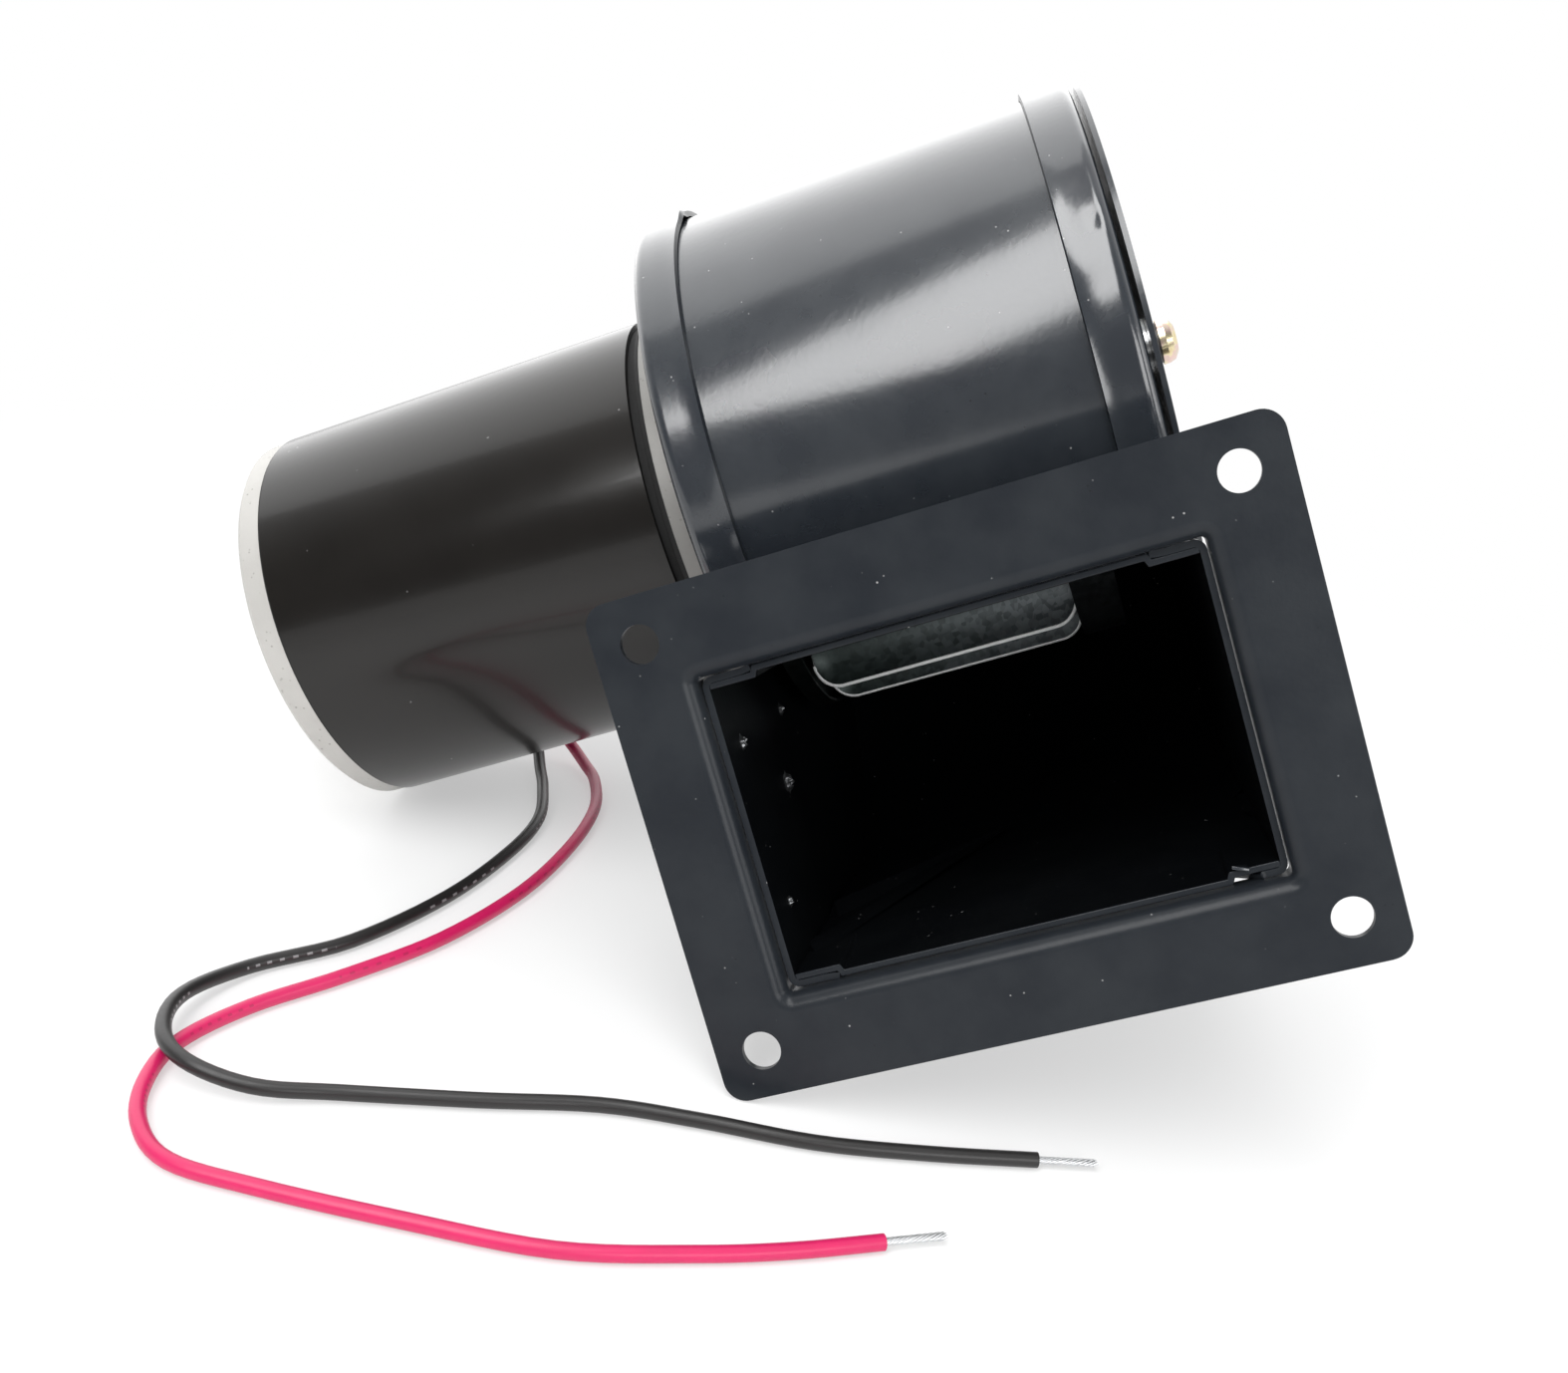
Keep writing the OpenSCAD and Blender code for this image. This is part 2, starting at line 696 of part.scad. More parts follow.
module magnets() {
    color("#2a2a2c") lying() translate([0, shaft_back, shaft_up])
        for (side = [0, 180]) rotate([side, 0, 0])
            intersection() {
                along_shaft(magnet_x, magnet_x + magnet_len) difference() {
                    circle(tube_r - fit_clear);
                    circle(tube_r - magnet_t);
                }
                along_shaft(magnet_x - 1, magnet_x + magnet_len + 1) {
                    reach = 2 * tube_r;
                    half = magnet_angle / 2;
                    polygon([[0, 0], [reach * sin(half), reach * cos(half)],
                        [reach * sin(half), reach], [-reach * sin(half), reach],
                        [-reach * sin(half), reach * cos(half)]]);
                }
            }
}

module brush_plate() {
    color("#6b4a2a") lying() difference() {
        bar(brush_plate_x, brush_plate_x + brush_plate_t, tube_r - 1);
        bar(brush_plate_x - 1, brush_plate_x + brush_plate_t + 1, commutator_d / 2 + 3);
        tie_holes(brush_plate_x - 1, brush_plate_x + brush_plate_t + 1);
    }
}

// Boxes along the radius above and below the commutator, from r0 to r1
module brush_boxes(r0, r1, w, h, x) {
    translate([x, shaft_back, shaft_up])
        for (side = [0, 180]) rotate([side, 0, 0])
            translate([-w / 2, -h / 2, r0]) cube([w, h, r1 - r0]);
}

module brush_holders() {
    hollow = brush_clear * 2;
    x = brush_plate_x + brush_plate_t + (brush_w + hollow) / 2 + brush_wall;
    color("#b99647") lying() difference() {
        brush_boxes(holder_r0, holder_r1, brush_w + hollow + 2 * brush_wall,
            brush_h + hollow + 2 * brush_wall, x);
        brush_boxes(holder_r0 - 1, holder_r1 - brush_wall, brush_w + hollow, brush_h + hollow, x);
    }
}

module carbon_brushes() {
    x = brush_plate_x + brush_plate_t + brush_w / 2 + brush_clear + brush_wall;
    color("#39393b") lying() difference() {
        brush_boxes(commutator_d / 2 - 0.6, commutator_d / 2 + brush_len, brush_w, brush_h, x);
        bar(x - brush_w, x + brush_w, commutator_d / 2 + 0.05);
    }
}

module brush_springs() {
    wire = 0.5;
    coil_r = brush_w / 2 - 0.6;
    r0 = commutator_d / 2 + brush_len;
    r1 = holder_r1 - brush_wall;
    turns = 4;
    x = brush_plate_x + brush_plate_t + brush_w / 2 + brush_clear + brush_wall;
    pitch = (r1 - r0 - wire) / (turns - 1);
    color("#b7b7b2") lying() translate([x, shaft_back, shaft_up])
        for (side = [0, 180]) rotate([side, 0, 0]) {
            for (i = [0 : turns - 1])
                translate([0, 0, r0 + wire / 2 + i * pitch])
                    rotate_extrude($fn = 32) translate([coil_r, 0]) circle(wire / 2, $fn = 16);
            translate([coil_r, 0, r0 + wire / 2]) cylinder(r = wire / 2, h = r1 - r0 - wire, $fn = 16);
        }
}

module through_bolts() {
    color("#a9a9a4") lying() around_shaft(2, tie_circle) {
        bar(cap_x, cap_x + tie_head_h, tie_head_r);
        bar(cap_x + tie_head_h - 0.01, -half_w - 2.5, tie_r);
    }
}

module motor_screws() {
    x = -half_w + sheet_t;
    color("#b9b9b5") lying() around_shaft(4, motor_screw_circle, 45) {
        pan_head(x, motor_screw_head_r, motor_screw_head_h, shaft_back, shaft_up);
        bar(-half_w - motor_screw_depth, x + 0.01, motor_screw_r);
    }
}

module lead_grommet() {
    color("#18181a") lying() at_lead_exit() {
        translate([0, 0, tube_r - grommet_rim_t])
            cylinder(r = grommet_r - fit_clear, h = lead_start_r - tube_r + grommet_rim_t);
        difference() {
            translate([0, 0, tube_r]) cylinder(r = grommet_rim_r, h = lead_start_r - tube_r);
            rotate([0, -90, 0]) cylinder(r = motor_r + fit_clear, h = 4 * grommet_rim_r, center = true);
        }
    }
}

// A point or a direction of the blower's axes, turned as the blower lies
function turned(p) = let (y = p.y * cos(lie_back) - p.z * sin(lie_back),
        z = p.y * sin(lie_back) + p.z * cos(lie_back))
    [p.x * cos(lie_over) + z * sin(lie_over), y, -p.x * sin(lie_over) + z * cos(lie_over)];
function unit(v) = v / norm(v);

lead_out = turned([0, sin(lead_angle), -cos(lead_angle)]);
function lead_start(side) = [lie_x, lie_y, lie_up]
    + turned([lead_x + side * lead_pitch / 2, shaft_back, shaft_up]) + lead_start_r * lead_out;

black_path = concat([lead_start(-1)], black_route);
red_path = concat([lead_start(1)], red_route);

// A point at t, from 0 to 1, on the smooth curve between b and c; a and d are their neighbours
function on_curve(a, b, c, d, t) = (2 * b + (c - a) * t + (2 * a - 5 * b + 4 * c - d) * t * t
    + (3 * b - a - 3 * c + d) * t * t * t) / 2;

// The route as ring centres: a smooth curve through its points, never under the bench
function ring_centres(route) = let (last = len(route) - 1,
        before = route[0] - norm(route[1] - route[0]) * lead_out,
        after = 2 * route[last] - route[last - 1],
        p = concat([before], route, [after]),
        curve = [for (i = [1 : last], k = [0 : rings_per_point - 1])
            on_curve(p[i - 1], p[i], p[i + 1], p[i + 2], k / rings_per_point)])
    [for (c = concat(curve, [route[last]])) [c.x, c.y, max(c.z, lead_d / 2)]];

// The tangents at the ring centres
function tangents(c) = let (last = len(c) - 1)
    [for (i = [0 : last]) i == 0 ? lead_out : unit(c[min(i + 1, last)] - c[i - 1])];

// A side direction for each ring, carried along the tube without twisting
function sides_along(t, i = 0, before = [1, 0, 0]) = i == len(t) ? [] :
    let (side = unit(before - (before * t[i]) * t[i]))
    concat([side], sides_along(t, i + 1, side));

// A tube of lead_d swept along the route
module lead_tube(route) {
    centres = ring_centres(route);
    t = tangents(centres);
    u = sides_along(t);
    rings = len(centres);
    n = lead_sides;
    points = [for (i = [0 : rings - 1], k = [0 : n - 1]) let (a = k * 360 / n)
        centres[i] + lead_d / 2 * (cos(a) * u[i] + sin(a) * cross(t[i], u[i]))];
    quads = [for (i = [0 : rings - 2], k = [0 : n - 1]) let (m = (k + 1) % n)
        [i * n + k, (i + 1) * n + k, (i + 1) * n + m, i * n + m]];
    walls = [for (q = quads, half = [[q[0], q[1], q[2]], [q[0], q[2], q[3]]]) half];
    first = [for (k = [0 : n - 1]) k];
    end = [for (k = [n - 1 : -1 : 0]) (rings - 1) * n + k];
    polyhedron(points, concat(walls, [first, end]), convexity = 10);
}

// The tinned strands at the end of a route, on in the direction it ends in
module tinned_end(route) {
    centres = ring_centres(route);
    last = len(centres) - 1;
    along = unit(centres[last] - centres[last - 1]);
    translate(centres[last]) rotate([0, 90, atan2(along.y, along.x)])
        cylinder(d = bare_d, h = bare_len);
}

module black_lead() {
    color("#26272a") lead_tube(black_path);
}

module red_lead() {
    color("#c81e3c") lead_tube(red_path);
}

module black_tinned_end() {
    color("#c4c6c8") tinned_end(black_path);
}

module red_tinned_end() {
    color("#c4c6c8") tinned_end(red_path);
}

outlet_flange();
scroll_wrap();
motor_side_cover();
inlet_cover();
damper_plate();
damper_spacer();
damper_screw();
damper_lock_washer();
damper_nut();
impeller_drum();
impeller_back_plate();
impeller_front_ring();
impeller_hub();
impeller_rivets();
grub_screw();
motor_shaft();
armature_core();
armature_windings();
commutator();
front_bearing();
rear_bearing();
motor_tube();
front_bell();
rear_end_cap();
magnets();
brush_plate();
brush_holders();
carbon_brushes();
brush_springs();
through_bolts();
motor_screws();
lead_grommet();
black_lead();
red_lead();
black_tinned_end();
red_tinned_end();
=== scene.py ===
"""Dressing of a direct-current blower: painted scroll, black motor, drum impeller and two leads.

Lengths are in metres. Shapes are worked out in millimetres in the blower's own axes, X along the
shaft from the motor to the inlet, the outlet towards -Y, and are then laid down as the blower lies.
"""

import json
import math

import bmesh
import bpy
import numpy as np
from mathutils import Matrix, Vector
from mathutils.geometry import tessellate_polygon


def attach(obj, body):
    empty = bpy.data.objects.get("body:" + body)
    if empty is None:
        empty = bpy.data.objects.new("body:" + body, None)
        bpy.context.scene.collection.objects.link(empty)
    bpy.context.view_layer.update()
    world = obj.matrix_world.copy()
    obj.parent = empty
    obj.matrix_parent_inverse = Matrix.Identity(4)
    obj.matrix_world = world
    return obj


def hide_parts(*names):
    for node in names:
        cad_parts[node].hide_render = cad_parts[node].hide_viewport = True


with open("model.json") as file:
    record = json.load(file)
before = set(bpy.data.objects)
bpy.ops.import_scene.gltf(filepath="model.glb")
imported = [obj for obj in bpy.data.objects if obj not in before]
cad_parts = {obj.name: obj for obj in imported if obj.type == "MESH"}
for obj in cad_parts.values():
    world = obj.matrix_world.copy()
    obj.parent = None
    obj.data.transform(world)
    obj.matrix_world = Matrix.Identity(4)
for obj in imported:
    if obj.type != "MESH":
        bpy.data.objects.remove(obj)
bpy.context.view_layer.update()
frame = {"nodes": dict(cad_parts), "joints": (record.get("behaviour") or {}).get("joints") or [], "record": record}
NODES = frame["nodes"]
JOINTS = {joint["name"]: joint for joint in frame["joints"]}
MOUNTS = {mount["name"]: mount for mount in frame["record"]["mounts"]}

# ---------------------------------------------------------------- sizes, in millimetres
SHAFT_Y, SHAFT_Z = 79.0, 61.0
FLANGE_W, FLANGE_H, FLANGE_T = 120.0, 92.0, 1.5
FLANGE_CORNER_R = 5.0
BOLT_W, BOLT_H, BOLT_R = 103.0, 75.0, 3.5
HALF_W, HALF_DUCT = 44.0, 28.8
SHEET = 1.2
LIP = 9.0
MOUTH_W, MOUTH_H = HALF_W + 0.2, HALF_DUCT + 0.2
COLLAR_R, COLLAR_DEPTH = 3.0, 7.0
DUCT_START = 4.0
ARC_Z, SCROLL_R = 64.8, 55.4
BACK_R, BACK_Z = 78.0, 42.2
BOTTOM_R, BOTTOM_Y = 71.0, 86.0
INLET_R, INLET_ROLL, INLET_DEPTH = 35.0, 3.0, 5.0
PILOT_R = 16.1
COVER_SCREW_RING_R, SCREW_HOLE_R = 24.0, 2.05
PIVOT_Y, PIVOT_Z = 36.0, 63.0
DAMPER_X, DAMPER_R, DAMPER_T = 44.95, 54.0, 1.0
IMPELLER_X, IMPELLER_R, IMPELLER_T = -37.8, 48.5, 0.8
BAND_W, BLADE_LEN, BLADES = 8.0, 51.0, 18
IMPELLER_X1 = IMPELLER_X + 2 * BAND_W + BLADE_LEN
BLADE_X0, BLADE_X1, BLADE_RUN = -34.2, 20.8, 9.4
SCOOP_R = 5.0
FIRST_BLADE = math.radians(-4)
BLADE_EDGE_R, BLADE_RIM_GAP, BAND_LAP = 0.42, 0.45, 0.4
BLADE_ROWS, BLADE_COLUMNS = 12, 61
CRIMP_AT, CRIMP_LIFT, CRIMP_SPREAD = 109.6, 0.75, 3.0
CUT_BACK = 4.4
JOGGLE_START, JOGGLE_RUN, JOGGLE_STEP = 14.0, 18.0, SHEET - 0.05
ABOVE_DUCT = 40.0
# the dents in the inlet cover's lip: outline angle, place along the shaft, depth and radius
LIP_DENTS = ((157.6, 40.9, 0.42, 1.0), (149.0, 40.6, 0.16, 2.6), (169.0, 38.6, 0.16, 3.0))
TUBE_X0 = -135.5
LEAD_D = 2.8
STRAND_LEN, STRAND_D, STRAND_WIRE_R = 11.0, 1.4, 0.21

# ---------------------------------------------------------------- the blower's axes on the bench
ALONG = Vector(JOINTS["fan_axis"]["axis"])
BACK = -Vector(MOUNTS["outlet_flange_face"]["axis"])
UP = ALONG.cross(BACK)
LAID = np.array([ALONG, BACK, UP])
ORIGIN = np.array(JOINTS["fan_axis"]["pos_m"]) - np.array([0, SHAFT_Y, SHAFT_Z]) / 1000 @ LAID


def laid(points):
    """Points in the blower's axes, in millimetres, turned and moved to where the blower lies."""
    return np.asarray(points, float).reshape(-1, 3) / 1000 @ LAID + ORIGIN


# ---------------------------------------------------------------- shader expressions
class Value:
    """A number or colour socket of one material, with arithmetic that adds its Math nodes."""

    def __init__(self, material, socket):
        self.material = material
        self.socket = socket

    def _math(self, operation, *values):
        return self.material.node("ShaderNodeMath", {"operation": operation}, *values)

    def __add__(self, other):
        return self._math("ADD", self, other)

    def __mul__(self, other):
        return self._math("MULTIPLY", self, other)

    def __sub__(self, other):
        return self._math("SUBTRACT", self, other)

    def __rsub__(self, other):
        return self._math("SUBTRACT", other, self)

    def over(self, limit):
        """1 where the value is more than limit, else 0."""
        return self._math("GREATER_THAN", self, limit)

    def clamped(self):
        return self.material.node("ShaderNodeClamp", {}, self)

    def between(self, low, high):
        """Rises smoothly from 0 at low to 1 at high."""
        return self.material.node(
            "ShaderNodeMapRange", {"interpolation_type": "SMOOTHSTEP"}, self, low, high, 0.0, 1.0
        )

    __radd__ = __add__
    __rmul__ = __mul__


class Finish:
    """A material, or the world, built from expressions; done() ends it with a Principled shader."""

    def __init__(self, name, kind="materials"):
        self.material = getattr(bpy.data, kind).new(name)
        self.material.use_nodes = True
        self.tree = self.material.node_tree
        self.tree.nodes.clear()
        self.coordinates = self.tree.nodes.new("ShaderNodeTexCoord")

    def node(self, kind, settings, *values, output=0, **named):
        """Adds a node: settings first, then its sockets in order or by name. Gives one output."""
        node = self.tree.nodes.new(kind)
        for key, setting in settings.items():
            if key == "stops":
                ramp = node.color_ramp
                while len(ramp.elements) < len(setting):
                    ramp.elements.new(0.5)
                for element, (place, colour) in zip(ramp.elements, setting):
                    element.position = place
                    element.color = colour
            else:
                setattr(node, key, setting)
        for key, value in [*enumerate(values), *named.items()]:
            key = key.replace("_", " ") if isinstance(key, str) else key
            self.feed(node.inputs[key], value)
        return Value(self, node.outputs[output])

    def feed(self, socket, value):
        if isinstance(value, Value):
            self.tree.links.new(value.socket, socket)
        elif value is not None:
            socket.default_value = value

    def place(self, scale=(1, 1, 1)):
        """Object coordinates, in metres, scaled."""
        point = Value(self, self.coordinates.outputs["Object"])
        return self.node("ShaderNodeMapping", {}, point, Scale=scale)

    def uv(self):
        return Value(self, self.coordinates.outputs["UV"])

    def noise(self, scale, detail=3.0, roughness=0.5, where=None):
        return self.node(
            "ShaderNodeTexNoise", {}, Vector=where or self.place(), Scale=scale, Detail=detail,
            Roughness=roughness,
        )

    def cells(self, scale, output="Distance"):
        return self.node(
            "ShaderNodeTexVoronoi", {}, Vector=self.place(), Scale=scale, output=output
        )

    def along(self):
        """How far along the shaft a point lies, in metres from the row's own zero."""
        return self.node("ShaderNodeVectorMath", {"operation": "DOT_PRODUCT"}, self.place(),
                         tuple(ALONG), output=1)

    def parts(self, vector):
        """The X, Y and Z of a vector."""
        node = self.tree.nodes.new("ShaderNodeSeparateXYZ")
        self.feed(node.inputs[0], vector)
        return [Value(self, socket) for socket in node.outputs]

    def mixed(self, factor, first, second):
        """The first colour where factor is 0, the second where it is 1."""
        node = self.tree.nodes.new("ShaderNodeMix")
        node.data_type = "RGBA"
        self.feed(node.inputs[0], factor)
        self.feed(node.inputs[6], first)
        self.feed(node.inputs[7], second)
        return Value(self, node.outputs[2])

    def bump(self, height, distance, strength=1.0):
        return self.node(
            "ShaderNodeBump", {}, Strength=strength, Distance=distance, Height=height
        )

    def done(self, **sockets):
        shader = self.tree.nodes.new("ShaderNodeBsdfPrincipled")
        for key, value in sockets.items():
            self.feed(shader.inputs[key.replace("_", " ")], value)
        output = self.tree.nodes.new("ShaderNodeOutputMaterial")
        self.tree.links.new(shader.outputs[0], output.inputs[0])
        return self.material


def grey(level, tint=(1, 1, 1)):
    return (level * tint[0], level * tint[1], level * tint[2], 1)


# ---------------------------------------------------------------- finishes
def painted_sheet(name, level=0.022, rough=0.20, gloss=0.5, coat=0.6, waves=1.0):
    """Gloss black paint on thin sheet: orange peel, slow waves in the sheet, dust and rub marks."""
    m = Finish(name)
    peel = m.noise(900, 2)
    wave = m.noise(26, 2, 0.4)
    cloud = m.noise(60, 4, 0.6)
    dust = m.cells(420)
    speck = m.noise(210, 2).between(0.56, 0.62) * (1 - dust.between(0.04, 0.10))
    dark_speck = m.noise(260, 2).between(0.58, 0.64) * (1 - m.cells(500).between(0.05, 0.12))
    colour = m.mixed(cloud.between(0.3, 0.7), grey(level * 0.85, (0.80, 0.96, 1.22)),
                     grey(level * 1.2, (0.84, 0.98, 1.16)))
    colour = m.mixed(dark_speck * 0.6, colour, grey(level * 0.3))
    colour = m.mixed(speck * 0.7, colour, grey(0.42))
    return m.done(
        Base_Color=colour, Roughness=cloud * 0.10 + (rough - 0.05) + speck * 0.3, Metallic=0.0,
        Specular_IOR_Level=gloss, Coat_Weight=coat, Coat_Roughness=0.14,
        Normal=m.bump(peel * 0.25 + wave * (7 * waves), 0.00022, 0.5),
    )


def motor_enamel():
    """Deep gloss black enamel with faint clouding, a fine peel in its bump and a few pale dust specks."""
    m = Finish("motor_enamel")
    cloud = m.noise(40, 3)
    peel = m.noise(700, 2)
    dust = m.cells(260)
    speck = m.noise(150, 2).between(0.63, 0.68) * (1 - dust.between(0.04, 0.10))
    colour = m.mixed(cloud, grey(0.003, (1.25, 1.03, 0.85)), grey(0.008, (1.2, 1.02, 0.85)))
    return m.done(
        Base_Color=m.mixed(speck * 0.6, colour, grey(0.4)), Roughness=cloud * 0.10 + 0.16,
        Specular_IOR_Level=0.42, Coat_Weight=0.1, Coat_Roughness=0.05,
        Normal=m.bump(peel, 0.00005, 0.25),
    )


def cast_alloy(name, level=0.52):
    """Pale die-cast alloy: fine grain with small dark pores."""
    m = Finish(name)
    grain = m.noise(1300, 3, 0.7)
    blotch = m.noise(90, 3)
    pores = (1 - m.cells(700).between(0.10, 0.22)) * m.noise(240, 2).between(0.45, 0.6)
    colour = m.mixed(blotch, grey(level * 0.86, (1.02, 1, 0.95)),
                     grey(level * 1.1, (1.02, 1, 0.96)))
    return m.done(
        Base_Color=m.mixed(pores * 0.55, colour, grey(0.16, (1.05, 1, 0.9))), Metallic=0.35,
        Roughness=grain * 0.2 + 0.38,
        Normal=m.bump(grain * 0.6 - pores, 0.00008, 0.6),
    )


def galvanised(name, level=1.0):
    """Zinc-coated sheet: fine spangle drawn out by the rolls, greenish grey, and painted light that makes it paler
    to the inlet.
    """
    m = Finish(name)
    across = m.along() - float(ORIGIN @ np.array(ALONG))
    shade = m.parts(m.cells(900, output="Color"))[0]
    streak = m.noise(420, 4, 0.7)
    fine = m.noise(1600, 3)
    # painted light: the zinc turns from a shaded tone to a lit tone towards the inlet
    pale = across.between(-0.034, 0.024)
    dark = m.mixed(shade * 0.6 + streak * 0.4, grey(0.020 * level, (0.66, 1, 0.92)),
                   grey(0.055 * level, (0.72, 1, 0.96)))
    light = m.mixed(shade * 0.6 + streak * 0.4, grey(0.05 * level, (0.82, 1, 1.04)),
                    grey(0.21 * level, (0.90, 1, 1.06)))
    return m.done(
        Base_Color=m.mixed(pale, dark, light), Metallic=0.55,
        Roughness=shade * 0.16 + fine * 0.1 + 0.30,
        Normal=m.bump(fine + streak, 0.00004, 0.4),
    )


def yellow_zinc():
    """Yellow chromate on a steel screw, with its slow shift towards pink and green."""
    m = Finish("yellow_zinc")
    drift = m.noise(420, 2, 0.5)
    colour = m.node(
        "ShaderNodeValToRGB",
        {"stops": [(0.25, (0.80, 0.62, 0.34, 1)), (0.45, (0.86, 0.76, 0.48, 1)),
                   (0.6, (0.82, 0.60, 0.56, 1)), (0.8, (0.70, 0.72, 0.48, 1))]},
        drift,
    )
    return m.done(Base_Color=colour, Metallic=0.95, Roughness=0.22,
                  Normal=m.bump(m.noise(1500, 2), 0.00002, 0.3))


def plain_metal(name, colour, rough, metallic=0.95, grain=1400.0):
    """Worked metal with a fine grain in its gloss."""
    m = Finish(name)
    fine = m.noise(grain, 3, 0.6)
    slow = m.noise(110, 2)
    tone = m.mixed(slow, tuple(c * 0.85 for c in colour[:3]) + (1,),
                   tuple(min(1, c * 1.12) for c in colour[:3]) + (1,))
    return m.done(Base_Color=tone, Metallic=metallic, Roughness=fine * 0.14 + rough,
                  Normal=m.bump(fine, 0.00003, 0.35))


def laminated():
    """A stack of thin steel sheets, seen as fine lines across the shaft."""
    m = Finish("laminated_core")
    wave = m.node("ShaderNodeMath", {"operation": "SINE"}, m.along() * 6280)
    edge = wave.between(-0.6, 0.6)
    return m.done(Base_Color=m.mixed(edge, grey(0.10), grey(0.26)), Metallic=0.8,
                  Roughness=edge * 0.1 + 0.4, Normal=m.bump(edge, 0.00006, 0.6))


def enamelled_copper():
    """Enamelled copper wire laid in coils: fine parallel turns."""
    m = Finish("enamelled_copper")
    turns = m.noise(500, 2, 0.5, where=m.place((1, 1, 5)))
    colour = m.mixed(turns, (0.36, 0.12, 0.04, 1), (0.72, 0.31, 0.12, 1))
    return m.done(Base_Color=colour, Metallic=0.8, Roughness=turns * 0.2 + 0.25,
                  Normal=m.bump(turns, 0.0003, 0.6))


def moulded(name, colour, rough, grain=1200.0):
    """Plain rubber, board, ferrite or carbon with a fine grain."""
    m = Finish(name)
    fine = m.noise(grain, 3, 0.6)
    tone = m.mixed(m.noise(120, 3), tuple(c * 0.8 for c in colour[:3]) + (1,), colour)
    return m.done(Base_Color=tone, Roughness=fine * 0.16 + rough,
                  Normal=m.bump(fine, 0.00006, 0.5))


def lead_skin(name, colour, marks):
    """Soft PVC over a stranded wire: a faint draw grain, and a row of small plain dashes."""
    m = Finish(name)
    u, v, _ = m.parts(m.uv())
    grain = m.noise(1500, 2)
    soil = m.noise(160, 3)
    tone = m.mixed(soil, tuple(c * 0.86 for c in colour[:3]) + (1,),
                   tuple(min(1, c * 1.06) for c in colour[:3]) + (1,))
    dash = m.node("ShaderNodeMath", {"operation": "FRACT"}, u * 150)
    row = m.node("ShaderNodeMath", {"operation": "ABSOLUTE"}, v - 0.22)
    group = m.node("ShaderNodeMath", {"operation": "FRACT"}, u * 11)
    ink = (1 - dash.between(0.34, 0.42)) * (1 - row.between(0.022, 0.034)) * group.over(0.5)
    return m.done(
        Base_Color=m.mixed(ink * marks[3], tone, marks[:3] + (1,)),
        Roughness=grain * 0.12 + 0.36, Coat_Weight=0.15, Coat_Roughness=0.3,
        Normal=m.bump(grain * 0.6 + soil, 0.00004, 0.5),
    )


SHEET_PAINT = painted_sheet("sheet_paint", 0.028, coat=0.9)
DAMPER_PAINT = painted_sheet("damper_paint", 0.026, 0.24)
FLANGE_PAINT = painted_sheet("flange_paint", 0.019, 0.32, gloss=0.20, coat=0.04, waves=0.4)
# the housing's black paint at an eighth of its level: painted shade on the duct's inner sides
SHADED_DUCT_PAINT = painted_sheet("duct_paint_painted_shade", 0.0035, 0.36, gloss=0.16, coat=0.0)
MOTOR_ENAMEL = motor_enamel()
CAST_CAP = cast_alloy("cast_cap", 0.50)
CAST_BELL = cast_alloy("cast_bell", 0.27)
GALVANISED = galvanised("galvanised_sheet")
# the bands' zinc at a seventh of the level: painted shade cast by the housing
SHADED_BAND_ZINC = galvanised("band_zinc_painted_shade", 0.14)
YELLOW_ZINC = yellow_zinc()
DARK_STEEL = plain_metal("dark_steel", (0.09, 0.085, 0.08), 0.38)
BRIGHT_STEEL = plain_metal("bright_steel", (0.60, 0.61, 0.62), 0.22)
# near-white, hardly metallic edge finish: a painted highlight on the blades' cut edges
BLADE_EDGE_HIGHLIGHT = plain_metal("blade_edge_painted_highlight", (0.92, 0.95, 0.94), 0.5, metallic=0.1)
# matte black for the groove ring, and as painted shadow in the seam at the rear cap
BLACK_GROOVE_AND_SEAM_SHADOW = moulded("black_groove_ring_seam_shadow", (0.004, 0.004, 0.004, 1), 0.7)
WELD_METAL = plain_metal("weld_metal", (0.30, 0.31, 0.32), 0.25)
BRASS = plain_metal("turned_brass", (0.56, 0.40, 0.16), 0.24)
RIVET_ALLOY = plain_metal("rivet_alloy", (0.66, 0.67, 0.68), 0.34)
TINNED = plain_metal("tinned_strands", (0.66, 0.67, 0.68), 0.30)
RED_SKIN = lead_skin("red_lead_skin", (0.60, 0.009, 0.105, 1), (0.16, 0.01, 0.03, 0.4))
BLACK_SKIN = lead_skin("black_lead_skin", (0.013, 0.012, 0.012, 1), (0.45, 0.45, 0.46, 0.45))

CAD_FINISHES = {
    "damper_screw": YELLOW_ZINC,
    "damper_lock_washer": DARK_STEEL,
    "grub_screw": DARK_STEEL,
    "damper_spacer": BRIGHT_STEEL,
    "damper_nut": BRIGHT_STEEL,
    "motor_screws": BRIGHT_STEEL,
    "motor_shaft": BRIGHT_STEEL,
    "front_bearing": BRIGHT_STEEL,
    "rear_bearing": BRIGHT_STEEL,
    "through_bolts": BRIGHT_STEEL,
    "brush_springs": BRIGHT_STEEL,
    "impeller_hub": BRASS,
    "brush_holders": BRASS,
    "impeller_rivets": RIVET_ALLOY,
    "impeller_back_plate": GALVANISED,
    "impeller_front_ring": GALVANISED,
    "motor_tube": MOTOR_ENAMEL,
    "front_bell": CAST_BELL,
    "rear_end_cap": CAST_CAP,
    "armature_core": laminated(),
    "armature_windings": enamelled_copper(),
    "commutator": plain_metal("commutator_copper", (0.64, 0.30, 0.15), 0.22),
    "magnets": moulded("ferrite", (0.05, 0.05, 0.055, 1), 0.55),
    "brush_plate": moulded("brown_board", (0.20, 0.11, 0.05, 1), 0.5),
    "carbon_brushes": moulded("carbon", (0.04, 0.04, 0.042, 1), 0.6),
    "lead_grommet": moulded("grommet_rubber", (0.016, 0.016, 0.017, 1), 0.6),
}
for node_name, material in CAD_FINISHES.items():
    for material_slot in NODES[node_name].material_slots:
        material_slot.material = material


